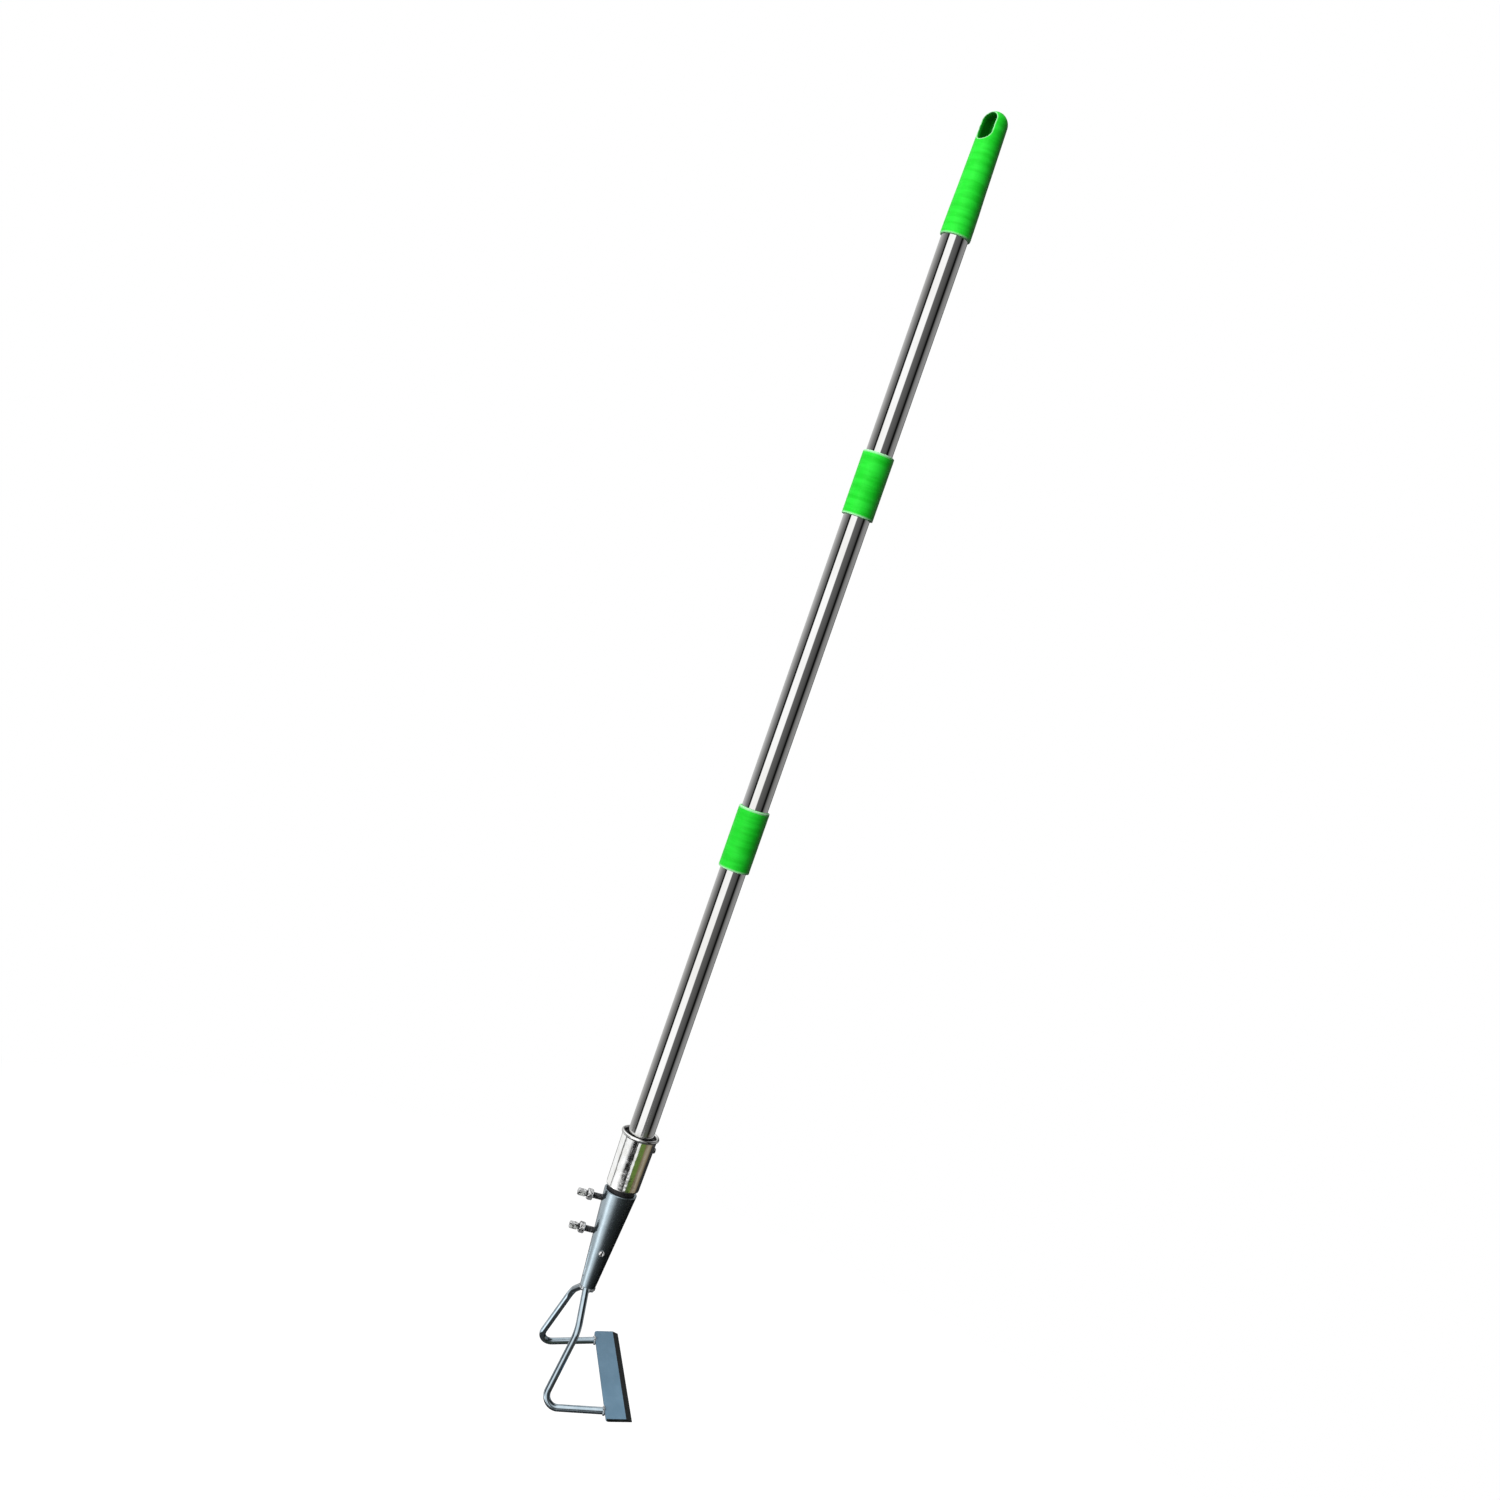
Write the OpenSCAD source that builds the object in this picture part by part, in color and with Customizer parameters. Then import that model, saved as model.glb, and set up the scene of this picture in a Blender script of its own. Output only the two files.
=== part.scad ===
// Weeding hoe: a blade in a bent-rod frame, on a three-section screw-together pole.
// The tool hangs by the eye in its grip. The origin is the centre of that eye, the pole runs
// down along -Z, the cutting edge points to +X, and the clamp bolts point to -X.

/* [Pole] */
// Outside diameter of the pole tubes
tube_d = 25; // [22:0.5:32]
// Wall of the pole tubes
tube_wall = 0.8; // [0.6:0.1:2]
// Bare tube between the grip and the upper collar
top_bare_len = 202; // [120:1:400]
// Bare tube between the two collars
middle_bare_len = 282; // [120:1:500]
// Bare tube between the lower collar and the ferrule
bottom_bare_len = 265; // [120:1:500]

/* [Grip] */
// Length of the grip from its lower edge to its rounded top
grip_len = 116; // [100:1:180]
// Wall of the grip over the tube, at its lower edge
grip_wall = 1.8; // [1.5:0.1:4]
// Depth to which the tube is pushed into the grip
grip_socket_len = 40; // [25:1:60]
// Diameter of the grip at its eye
grip_top_d = 24.2; // [20:0.2:32]
// Height of the eye's slot
eye_len = 26; // [18:1:34]
// Width of the eye's slot
eye_w = 16; // [8:0.5:17]
// Rim left above the eye
eye_rim = 3; // [2:0.5:8]
// Angle by which the eye is turned about the pole, from -Y towards -X
eye_turn = 57; // [0:1:90]

/* [Collars] */
// Length of each collar
collar_len = 60; // [54:1:90]
// Wall of a collar around its thread
collar_wall = 1.2; // [1:0.1:4]
// Depth of the thread, from the tube's surface to the collar's bore
thread_depth = 1.05; // [0.9:0.05:3]
// Pitch of the coarse pole thread
thread_pitch = 3; // [2:0.25:3.25]
// Turns that the collar makes from tight to the end of its thread
thread_turns = 8; // [4:1:8]
// Length of the core that is pressed into a tube's lower end
core_len = 24; // [15:1:40]
// Bore through the core
core_bore = 15; // [8:0.5:18]

/* [Ferrule] */
// Length of the ferrule
ferrule_len = 54; // [45:1:90]
// Outside diameter of the ferrule under its rolled rim
ferrule_top_d = 34; // [32:0.5:44]
// Outside diameter of the ferrule at its lower edge
ferrule_bottom_d = 32; // [31:0.5:42]
// Sheet thickness of the ferrule
ferrule_wall = 0.9; // [0.6:0.1:1.6]
// Diameter of the bead rolled at the ferrule's top
ferrule_bead = 3; // [2:0.2:4]
// Distance of the ferrule's screw below its top
ferrule_screw_drop = 13; // [8:1:20]
// Depth of the cup that holds the end of the tube
cup_depth = 40; // [30:1:48]
// Length of the plug's neck between ferrule and socket
neck_len = 5; // [4:0.5:12]

/* [Socket] */
// Length of the socket
socket_len = 98; // [90:1:140]
// Outside diameter of the socket's mouth
socket_top_d = 32; // [30:0.5:40]
// Outside diameter of the socket's tip
socket_tip_d = 15; // [13:0.5:20]
// Wall of the socket
socket_wall = 2.5; // [2:0.1:3.5]
// Solid length at the socket's tip
tip_len = 18; // [12:1:25]
// Length of the plug's stub inside the socket
stub_len = 50; // [48:1:52]
// Height of the small socket screw above the tip
socket_screw_h = 39; // [34:1:42]

/* [Clamp bolts] */
// Thread diameter of the clamp bolts
bolt_d = 6; // [5:1:8]
// Distance of the upper bolt below the socket's mouth
bolt_drop = 10.5; // [9:0.5:14]
// Distance between the two bolts
bolt_spacing = 33; // [24:1:34]
// Bare shank between the socket and the lock nut
nut_off = 9.5; // [5:0.5:14]
// Thickness of a lock nut
nut_t = 5; // [3:0.5:8]
// Width of a lock nut across its flats
nut_af = 10; // [9:0.5:14]
// Shank between the lock nut and the bolt head
head_off = 1.5; // [1:0.5:8]
// Height of a bolt's square head
head_h = 8; // [4:0.5:10]
// Width of a bolt's square head across its flats
head_af = 5.5; // [5:0.5:12]

/* [Frame] */
// Diameter of the frame's rods
rod_d = 6.5; // [5:0.5:9]
// Distance between the rods where they leave the tip
root_w = 8.4; // [7.6:0.2:12]
// Distance between the rods at their shoulders
shoulder_w = 80; // [60:1:100]
// Drop of the shoulders below the tip
shoulder_drop = 26; // [20:1:40]
// Setback of the shoulders behind the pole
shoulder_back = 3.5; // [0:0.5:10]
// Distance between the rods at their heels
heel_w = 114; // [90:1:150]
// Drop of the heels below the tip
heel_drop = 95; // [75:1:130]
// Setback of the heels behind the pole
heel_back = 18; // [5:1:30]
// Distance between the rods where they meet the blade
toe_w = 124; // [100:1:146]
// Forward reach of the rods from the pole to the blade
toe_reach = 40; // [30:1:60]
// Bend radius at the shoulders
shoulder_r = 24; // [14:1:30]
// Bend radius at the heels
heel_r = 11; // [8:0.5:16]
// Upward slope of the sole from heel to cutting edge
sole_tilt = 12.5; // [5:0.5:25]

/* [Blade] */
// Length of the blade
blade_len = 155; // [150:1:220]
// Width of the blade from back to edge
blade_w = 24; // [18:1:40]
// Thickness of the blade
blade_t = 3; // [2:0.25:5]
// Width of the ground bevel
bevel_w = 5.5; // [3:0.5:9]
// Thickness left at the cutting edge
edge_t = 0.6; // [0.4:0.1:1]
// Radius of the blade's back corners
corner_r = 3; // [1.5:0.5:6]

/* [Hidden] */
$fn = 64;

// Clearances
glue_gap = 0.05;      // between pieces that are pressed or glued together
run_gap = 0.1;        // between pieces that turn or slide on each other
free_gap = 0.3;       // between pieces that only stand face to face
cut = 1;              // how far a cutting solid passes the surface that it cuts

// Colours
green = [0.13, 0.80, 0.20];
steel = [0.72, 0.72, 0.70];
black = [0.06, 0.06, 0.06];
zinc = [0.80, 0.81, 0.80];
paint = [0.42, 0.50, 0.55];

// Tube and thread radii
tube_r = tube_d / 2;
tube_bore_r = tube_r - tube_wall;
collar_bore_r = tube_r + thread_depth + glue_gap;
collar_r = collar_bore_r + collar_wall;
sleeve_r = collar_bore_r - run_gap;

// Heights down the pole, measured from the eye
eye_half = eye_len / 2;
grip_top_z = eye_half + eye_rim;
grip_low_z = grip_top_z - grip_len;
upper_joint_z = grip_low_z - top_bare_len - collar_len / 2;
lower_joint_z = upper_joint_z - collar_len - middle_bare_len;
ferrule_top_z = lower_joint_z - collar_len / 2 - bottom_bare_len;
ferrule_low_z = ferrule_top_z - ferrule_len;
socket_top_z = ferrule_low_z - neck_len;
tip_z = socket_top_z - socket_len;

// Coupling, measured from the middle of a collar
lip_z = 7;            // underside of the collar's inner lip, which rests on the core's flange
flange_t = 4.5;       // thickness of the core's flange
flange_top_z = lip_z - run_gap;
flange_low_z = flange_top_z - flange_t;
sleeve_top_z = flange_low_z - free_gap;
sleeve_cap_t = 2.5;   // thickness of the sleeve's cap over the tube's upper end
thread_hold = 6.6;    // length of thread that stays engaged after the last turn
sleeve_low_z = sleeve_top_z - thread_turns * thread_pitch - thread_hold;
tube_end_z = sleeve_top_z - sleeve_cap_t;
collar_round = 1.6;   // rounding of the collar's outer edges, less where its wall is thin

// Lengths of the three tubes
tube_top_z = grip_low_z + grip_socket_len;
ferrule_bead_r = ferrule_bead / 2;
cup_top_z = ferrule_top_z - ferrule_bead - free_gap;
cup_floor_z = cup_top_z - cup_depth;

// Socket and stub, both tapered alike
taper = (socket_top_d - socket_tip_d) / 2 / socket_len;
bore_depth = socket_len - tip_len;
bore_top_r = socket_top_d / 2 - socket_wall;
stub_top_r = bore_top_r - free_gap;
function socket_r(z) = socket_tip_d / 2 + taper * (z - tip_z);
function stub_r(z) = stub_top_r + taper * (z - socket_top_z);

// Bolts
bolt_r = bolt_d / 2;
upper_bolt_z = socket_top_z - bolt_drop;
lower_bolt_z = upper_bolt_z - bolt_spacing;
screw_d = 3;          // shank of the ferrule's and the socket's small screws
screw_head_d = 5.6;
screw_head_h = 1.8;
screw_head_round = 1.2;
screw_len = 7;
screw_slot_w = 0.9;
screw_slot_depth = 0.8;
screw_overlap = 0.4;  // how far a shank runs up into its head

// Arm corners, from the socket's tip: x, y, z
sole_rise = tan(sole_tilt);
root_back = 1.5;      // setback of the rods' roots behind the tip's centre
root_drop = 1;        // drop of the rods' roots below the tip
root_p = [-root_back, root_w / 2, -root_drop];
shoulder_p = [-shoulder_back, shoulder_w / 2, -shoulder_drop];
heel_p = [-heel_back, heel_w / 2, -heel_drop];
toe_p = [toe_reach, toe_w / 2, -heel_drop + (toe_reach + heel_back) * sole_rise];
mitre_gap = 0.15;     // half the gap between the two mitred roots
weld_r = 2.2;         // thickness radius of the bead under the tip
bead_w = 1.3;         // width of the beads behind the blade

// ---------------------------------------------------------------- helpers

function unit(v) = v / norm(v);
function arc_points(cx, cy, r, a0, a1, n = 6) =
    [for (i = [0:n]) let (a = a0 + (a1 - a0) * i / n) [cx + r * cos(a), cy + r * sin(a)]];

// A round tube from z0 up to z1
module pipe(r_out, r_in, z0, z1) {
    difference() {
        translate([0, 0, z0]) cylinder(h = z1 - z0, r = r_out);
        translate([0, 0, z0 - cut]) cylinder(h = z1 - z0 + 2 * cut, r = r_in);
    }
}

// A straight round rod between two points
module rod(a, b, d) {
    v = b - a;
    translate(a)
        rotate([0, acos(v[2] / norm(v)), atan2(v[1], v[0])])
            cylinder(h = norm(v), d = d);
}

// The centre-line's points and directions round the bend at corner p, from direction u to v
function bend_rings(p, u, v, r, n) =
    let (turn = acos(u * v),
         centre = p + unit(v - u) * r / cos(turn / 2),
         out = unit(p - u * r * tan(turn / 2) - centre))
    [for (i = [0:n]) let (a = turn * i / n)
        [centre + r * (out * cos(a) + u * sin(a)), u * cos(a) - out * sin(a)]];

// A round rod swept through rings, each a point and a direction that is never along Y
module swept_rod(rings, d, sides = 20) {
    last = len(rings) - 1;
    points = [for (ring = rings)
        let (side = unit(cross([0, 1, 0], ring[1])), up = cross(ring[1], side))
        for (i = [0:sides - 1]) let (a = 360 * i / sides)
            ring[0] + d / 2 * (side * cos(a) + up * sin(a))];
    walls = [for (k = [0:last - 1], i = [0:sides - 1])
        let (a = k * sides + i, b = k * sides + (i + 1) % sides)
        [a, a + sides, b + sides, b]];
    split = [for (w = walls, half = [[0, 1, 2], [0, 2, 3]]) [for (j = half) w[j]]];
    ends = [[for (i = [0:sides - 1]) i], [for (i = [sides - 1:-1:0]) last * sides + i]];
    polyhedron(points, concat(split, ends));
}

// A pan head with a straight slot, standing on z = 0
module slotted_head() {
    turn_r = screw_head_d / 2 - screw_head_round;
    turn_z = screw_head_h - screw_head_round;
    difference() {
        rotate_extrude() polygon(concat([[0, 0], [screw_head_d / 2, 0]],
            arc_points(turn_r, turn_z, screw_head_round, 0, 90), [[0, screw_head_h]]));
        translate([-screw_head_d, -screw_slot_w / 2, screw_head_h - screw_slot_depth])
            cube([2 * screw_head_d, screw_slot_w, screw_slot_depth + cut]);
    }
}

// Places its children on the pole's side at height z, facing the direction at angle a about Z
module on_side(a, r, z) {
    rotate([0, 0, a]) translate([r, 0, z]) rotate([0, 90, 0]) children();
}

// ---------------------------------------------------------------- grip

module eye_slot() {
    for (end = [-1, 1])
        translate([0, 0, end * (eye_len - eye_w) / 2])
            rotate([90, 0, 0]) cylinder(h = 2 * grip_top_d, d = eye_w, center = true);
    cube([eye_w, 2 * grip_top_d, eye_len - eye_w], center = true);
}

grip_edge = 0.7;      // chamfer of the grip's lower edge
grip_waist = 2;       // distance of the grip's waist above the tube's end

module grip() {
    dome_r = grip_top_d / 2;
    dome_z = grip_top_z - dome_r;
    low_r = tube_r + grip_wall;
    waist_z = grip_low_z + grip_socket_len + grip_waist;
    waist_r = tube_r + grip_wall / 2;
    color(green) difference() {
        union() {
            translate([0, 0, grip_low_z])
                cylinder(h = grip_edge, r1 = low_r - grip_edge, r2 = low_r);
            translate([0, 0, grip_low_z + grip_edge])
                cylinder(h = waist_z - grip_low_z - grip_edge, r1 = low_r, r2 = waist_r);
            translate([0, 0, waist_z]) cylinder(h = dome_z - waist_z, r1 = waist_r, r2 = dome_r);
            translate([0, 0, dome_z]) sphere(r = dome_r);
        }
        translate([0, 0, grip_low_z - cut])
            cylinder(h = grip_socket_len + cut, r = tube_r + glue_gap);
        rotate([0, 0, -eye_turn]) eye_slot();
    }
}

// ---------------------------------------------------------------- pole

module tube(z0, z1) {
    color(steel) pipe(tube_r, tube_bore_r, z0, z1);
}

module top_tube() {
    tube(upper_joint_z + lip_z, tube_top_z);
}

module middle_tube() {
    tube(lower_joint_z + lip_z, upper_joint_z + tube_end_z);
}

module bottom_tube() {
    tube(cup_floor_z, lower_joint_z + tube_end_z);
}

// The core in a tube's lower end, whose flange holds the collar captive
module core(joint_z) {
    color(black) translate([0, 0, joint_z]) {
        pipe(tube_bore_r - glue_gap, core_bore / 2, lip_z, lip_z + core_len);
        pipe(collar_bore_r - run_gap, core_bore / 2, flange_low_z, flange_top_z);
        pipe(tube_r - free_gap, core_bore / 2, flange_top_z, lip_z);
    }
}

// The threaded sleeve on a tube's upper end
module thread_sleeve(joint_z) {
    color(black) translate([0, 0, joint_z]) {
        pipe(sleeve_r, tube_r + glue_gap, sleeve_low_z, tube_end_z);
        pipe(sleeve_r, core_bore / 2, tube_end_z, sleeve_top_z);
    }
}

module collar(joint_z) {
    half = collar_len / 2;
    lip_r = tube_r + run_gap;
    low_round = min(collar_round, 0.8 * collar_wall);
    color(green) translate([0, 0, joint_z]) rotate_extrude() polygon(concat(
        [[collar_bore_r, -half]],
        arc_points(collar_r - low_round, -half + low_round, low_round, -90, 0),
        arc_points(collar_r - collar_round, half - collar_round, collar_round, 0, 90),
        [[lip_r, half], [lip_r, lip_z], [collar_bore_r, lip_z]]));
}

module upper_core() {
    core(upper_joint_z);
}

module lower_core() {
    core(lower_joint_z);
}

module upper_thread_sleeve() {
    thread_sleeve(upper_joint_z);
}

module lower_thread_sleeve() {
    thread_sleeve(lower_joint_z);
}

module upper_collar() {
    collar(upper_joint_z);
}

module lower_collar() {
    collar(lower_joint_z);
}

// ---------------------------------------------------------------- ferrule and plug

ferrule_top_r = ferrule_top_d / 2;
ferrule_low_r = ferrule_bottom_d / 2;
ferrule_taper = (ferrule_top_r - ferrule_low_r) / ferrule_len;
function ferrule_r(z) = ferrule_low_r + ferrule_taper * (z - ferrule_low_z);
ferrule_screw_z = ferrule_top_z - ferrule_screw_drop;

module ferrule() {
    color(zinc) difference() {
        union() {
            difference() {
                translate([0, 0, ferrule_low_z])
                    cylinder(h = ferrule_len, r1 = ferrule_low_r, r2 = ferrule_top_r);
                translate([0, 0, ferrule_low_z - cut])
                    cylinder(h = ferrule_len + 2 * cut,
                             r1 = ferrule_r(ferrule_low_z - cut) - ferrule_wall,
                             r2 = ferrule_r(ferrule_top_z + cut) - ferrule_wall);
            }
            translate([0, 0, ferrule_top_z - ferrule_bead_r])
                rotate_extrude() translate([ferrule_top_r, 0]) circle(r = ferrule_bead_r);
        }
        on_side(0, 0, ferrule_screw_z)
            cylinder(h = ferrule_top_d, r = screw_d / 2 + run_gap);
    }
}

module pole_plug() {
    skin = ferrule_wall + run_gap;
    color(black) difference() {
        union() {
            translate([0, 0, ferrule_low_z])
                cylinder(h = cup_top_z - ferrule_low_z,
                         r1 = ferrule_low_r - skin, r2 = ferrule_r(cup_top_z) - skin);
            translate([0, 0, socket_top_z]) cylinder(h = neck_len, r = stub_top_r);
            translate([0, 0, socket_top_z - stub_len])
                cylinder(h = stub_len, r1 = stub_r(socket_top_z - stub_len), r2 = stub_top_r);
        }
        translate([0, 0, cup_floor_z])
            cylinder(h = cup_depth + cut, r = tube_r + glue_gap);
        on_side(0, tube_r + screw_tip_gap, ferrule_screw_z)
            cylinder(h = ferrule_top_d, r = screw_d / 2 + glue_gap);
    }
}
screw_tip_gap = 0.5;  // wall left between the ferrule screw's tip and the tube

module ferrule_screw() {
    seat_r = ferrule_r(ferrule_screw_z) + run_gap;
    tip_r = tube_r + screw_tip_gap + run_gap;
    color(zinc) {
        on_side(0, seat_r, ferrule_screw_z) slotted_head();
        on_side(0, tip_r, ferrule_screw_z)
            cylinder(h = seat_r - tip_r + screw_overlap, d = screw_d);
    }
}

// ---------------------------------------------------------------- socket

socket_screw_z = tip_z + socket_screw_h;

module socket() {
    color(paint) difference() {
        translate([0, 0, tip_z])
            cylinder(h = socket_len, r1 = socket_tip_d / 2, r2 = socket_top_d / 2);
        translate([0, 0, socket_top_z - bore_depth])
            cylinder(h = bore_depth + cut,
                     r1 = bore_top_r - taper * bore_depth, r2 = bore_top_r + taper * cut);
        for (z = [upper_bolt_z, lower_bolt_z])
            on_side(180, 0, z) cylinder(h = socket_top_d, r = bolt_r + run_gap);
        on_side(-90, 0, socket_screw_z) cylinder(h = socket_top_d, r = screw_d / 2 + run_gap);
    }
}

module socket_screw() {
    seat_r = socket_r(socket_screw_z + screw_head_d / 2) + run_gap;
    color(zinc) {
        on_side(-90, seat_r, socket_screw_z) slotted_head();
        on_side(-90, seat_r - screw_len, socket_screw_z)
            cylinder(h = screw_len + screw_overlap, d = screw_d);
    }
}

// ---------------------------------------------------------------- clamp bolts

function nut_r(z) = socket_r(z) + nut_off;
function head_r(z) = nut_r(z) + nut_t + head_off;

// A prism with a number of sides, af wide across its flats
module flats_prism(h, af, sides) {
    rotate([0, 0, 180 / sides]) cylinder(h = h, d = af / cos(180 / sides), $fn = sides);
}

module lock_nut(z) {
    color(zinc) on_side(180, nut_r(z), z) difference() {
        rotate([0, 0, nut_turn]) flats_prism(nut_t, nut_af, 6);
        translate([0, 0, -cut]) cylinder(h = nut_t + 2 * cut, r = bolt_r + run_gap);
    }
}
nut_turn = 45;        // angle at which the lock nuts stand

module clamp_bolt(z) {
    tip_r = stub_r(z + bolt_r) + run_gap;
    color(zinc) {
        on_side(180, head_r(z), z) flats_prism(head_h, head_af, 4);
        on_side(180, tip_r, z) cylinder(h = head_r(z) - tip_r, r = bolt_r);
    }
}

module upper_lock_nut() {
    lock_nut(upper_bolt_z);
}

module lower_lock_nut() {
    lock_nut(lower_bolt_z);
}

module upper_clamp_bolt() {
    clamp_bolt(upper_bolt_z);
}

module lower_clamp_bolt() {
    clamp_bolt(lower_bolt_z);
}

// ---------------------------------------------------------------- frame and blade

root_dir = unit(shoulder_p - root_p);
arm_dir = unit(heel_p - shoulder_p);
sole_dir = unit(toe_p - heel_p);
root_start = root_p - root_dir * rod_d;

// The rod's straight root, carried on up past the tip
module arm_root(d) {
    rod(root_start, root_start + root_dir * 3 * rod_d, d);
}

// One arm, on the +Y side, in coordinates from the socket's tip
module arm() {
    difference() {
        swept_rod(concat([[root_start, root_dir]],
            bend_rings(shoulder_p, root_dir, arm_dir, shoulder_r, 5),
            bend_rings(heel_p, arm_dir, sole_dir, heel_r, 8),
            [[toe_p + sole_dir * blade_t, sole_dir]]), rod_d);
        translate([-socket_tip_d, -socket_tip_d, -glue_gap])
            cube([2 * socket_tip_d, 2 * socket_tip_d, 2 * rod_d]);
        translate([-socket_tip_d, -2 * socket_tip_d + mitre_gap, -2 * rod_d])
            cube([2 * socket_tip_d, 2 * socket_tip_d, 4 * rod_d]);
        blade_space();
    }
}

module left_arm() {
    color(paint) translate([0, 0, tip_z]) arm();
}

module right_arm() {
    color(paint) translate([0, 0, tip_z]) mirror([0, 1, 0]) arm();
}

// The bead where the two rods are welded under the tip
module arm_weld() {
    color(paint) translate([0, 0, tip_z]) difference() {
        translate([0, 0, -weld_r / 2])
            rotate_extrude() translate([socket_tip_d / 2 - weld_r / 2, 0]) circle(r = weld_r);
        translate([0, 0, -glue_gap])
            cylinder(h = socket_len, r1 = socket_tip_d / 2 + glue_gap,
                     r2 = socket_top_d / 2 + glue_gap);
        arm_root(rod_d + 2 * glue_gap);
        mirror([0, 1, 0]) arm_root(rod_d + 2 * glue_gap);
    }
}

// Places its children at the middle of the blade's back edge, with x to the cutting edge
module on_sole() {
    translate([toe_p[0], 0, toe_p[2]]) rotate([0, -sole_tilt, 0]) children();
}

// The half space from the blade's back edge forwards
module blade_space() {
    on_sole() translate([-glue_gap, 0, -blade_len / 2]) cube(blade_len);
}

module blade_outline() {
    translate([0, -blade_len / 2 + corner_r]) square([blade_w, blade_len - 2 * corner_r]);
    translate([corner_r, -blade_len / 2]) square([blade_w - corner_r, blade_len]);
    for (side = [-1, 1])
        translate([corner_r, side * (blade_len / 2 - corner_r)]) circle(r = corner_r);
}

module blade() {
    color(paint) translate([0, 0, tip_z]) on_sole() difference() {
        translate([0, 0, -blade_t / 2]) linear_extrude(blade_t) blade_outline();
        rotate([90, 0, 0]) linear_extrude(2 * blade_len, center = true)
            polygon([[blade_w - bevel_w, blade_t / 2], [blade_w, edge_t - blade_t / 2],
                     [blade_w + cut, edge_t - blade_t / 2], [blade_w + cut, blade_t],
                     [blade_w - bevel_w, blade_t]]);
    }
}

// The two beads where the rods are welded to the blade's back edge
module blade_welds() {
    bore_r = rod_d / 2 + glue_gap;
    bead_start = (bore_r + bead_w) * abs(sole_dir[1]) + run_gap;
    color(paint) translate([0, 0, tip_z])
        for (side = [0, 1]) mirror([0, side, 0])
            translate(toe_p) rotate([0, acos(-sole_dir[2]), atan2(-sole_dir[1], -sole_dir[0])])
                translate([0, 0, bead_start]) rotate_extrude()
                    polygon([[bore_r, 0], [bore_r + bead_w, 0], [bore_r + bead_w, bead_w / 2],
                             [bore_r + bead_w / 2, bead_w * 1.6], [bore_r, bead_w * 2]]);
}

grip();
top_tube();
upper_core();
upper_collar();
middle_tube();
upper_thread_sleeve();
lower_core();
lower_collar();
bottom_tube();
lower_thread_sleeve();
pole_plug();
ferrule();
ferrule_screw();
socket();
socket_screw();
left_arm();
right_arm();
arm_weld();
blade();
blade_welds();
upper_lock_nut();
upper_clamp_bolt();
lower_lock_nut();
lower_clamp_bolt();
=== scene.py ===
import math

import bmesh
import bpy
from mathutils import Matrix, Vector, noise


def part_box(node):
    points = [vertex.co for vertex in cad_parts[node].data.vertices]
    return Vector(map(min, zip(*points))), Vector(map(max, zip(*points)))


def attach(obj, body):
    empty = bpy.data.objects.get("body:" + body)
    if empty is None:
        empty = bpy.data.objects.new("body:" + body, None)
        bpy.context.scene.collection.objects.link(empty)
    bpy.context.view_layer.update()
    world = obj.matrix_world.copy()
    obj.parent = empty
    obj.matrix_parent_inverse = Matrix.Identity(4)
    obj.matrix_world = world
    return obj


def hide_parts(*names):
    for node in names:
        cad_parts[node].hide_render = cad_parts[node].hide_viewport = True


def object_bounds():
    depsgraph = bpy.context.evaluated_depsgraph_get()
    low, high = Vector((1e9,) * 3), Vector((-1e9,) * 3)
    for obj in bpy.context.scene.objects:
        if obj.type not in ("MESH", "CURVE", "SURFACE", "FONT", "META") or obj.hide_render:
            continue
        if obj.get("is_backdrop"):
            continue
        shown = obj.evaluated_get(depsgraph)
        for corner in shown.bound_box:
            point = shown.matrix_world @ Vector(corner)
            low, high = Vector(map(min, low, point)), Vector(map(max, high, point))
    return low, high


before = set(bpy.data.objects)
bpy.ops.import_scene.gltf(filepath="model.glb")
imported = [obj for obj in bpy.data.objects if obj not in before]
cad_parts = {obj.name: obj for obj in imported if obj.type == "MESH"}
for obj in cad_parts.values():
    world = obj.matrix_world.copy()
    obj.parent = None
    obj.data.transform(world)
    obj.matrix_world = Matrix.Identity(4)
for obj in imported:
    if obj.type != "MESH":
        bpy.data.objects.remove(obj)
cad_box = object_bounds()

MM = 0.001

# Sizes in mm, the same as the solids'. Heights are counted from the eye's centre, up.
GLUE_GAP, RUN_GAP = 0.05, 0.1
TUBE_R, TUBE_WALL = 12.5, 0.8
GRIP_LOW, GRIP_SOCKET_LEN = -100.0, 40.0
GRIP_LOW_R, GRIP_WAIST_R = 14.3, 13.4
DOME_R, DOME_Z = 12.1, 3.9
EYE_R, EYE_HALF, EYE_TURN = 8.0, 5.0, -57.0  # EYE_HALF is half the slot's straight part
COLLAR_R, COLLAR_BORE_R = 14.8, 13.6
UPPER_JOINT, LOWER_JOINT = -332.0, -674.0
FERRULE_TOP, FERRULE_LOW = -969.0, -1023.0
FERRULE_TOP_R, FERRULE_LOW_R, FERRULE_WALL, RIM_R = 17.0, 16.0, 0.9, 1.5
CUP_TOP, CUP_FLOOR, CUP_R = -972.4, -1012.3, 12.6
SOCKET_TOP, TIP = -1028.0, -1126.0
SOCKET_TOP_R, TIP_R = 16.0, 7.5
SOCKET_TAPER = (SOCKET_TOP_R - TIP_R) / (SOCKET_TOP - TIP)
SOCKET_BORE_R, SOCKET_FLOOR_R, SOCKET_FLOOR = 13.5, 6.56, TIP + 18.0
STUB_TOP_R, STUB_LOW_R, STUB_LEN = 13.2, 8.86, 50.0
SCREW_R, SCREW_HEAD_R = 1.5, 2.8
FERRULE_SCREW_Z, SOCKET_SCREW_Z = FERRULE_TOP - 13.0, TIP + 39.0
BOLT_Z = {"upper": SOCKET_TOP - 10.5, "lower": SOCKET_TOP - 43.5}
BOLT_R, BOLT_PITCH = 3.0, 1.0
NUT_OFF, NUT_T, NUT_AF = 9.5, 5.0, 10.0
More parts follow.
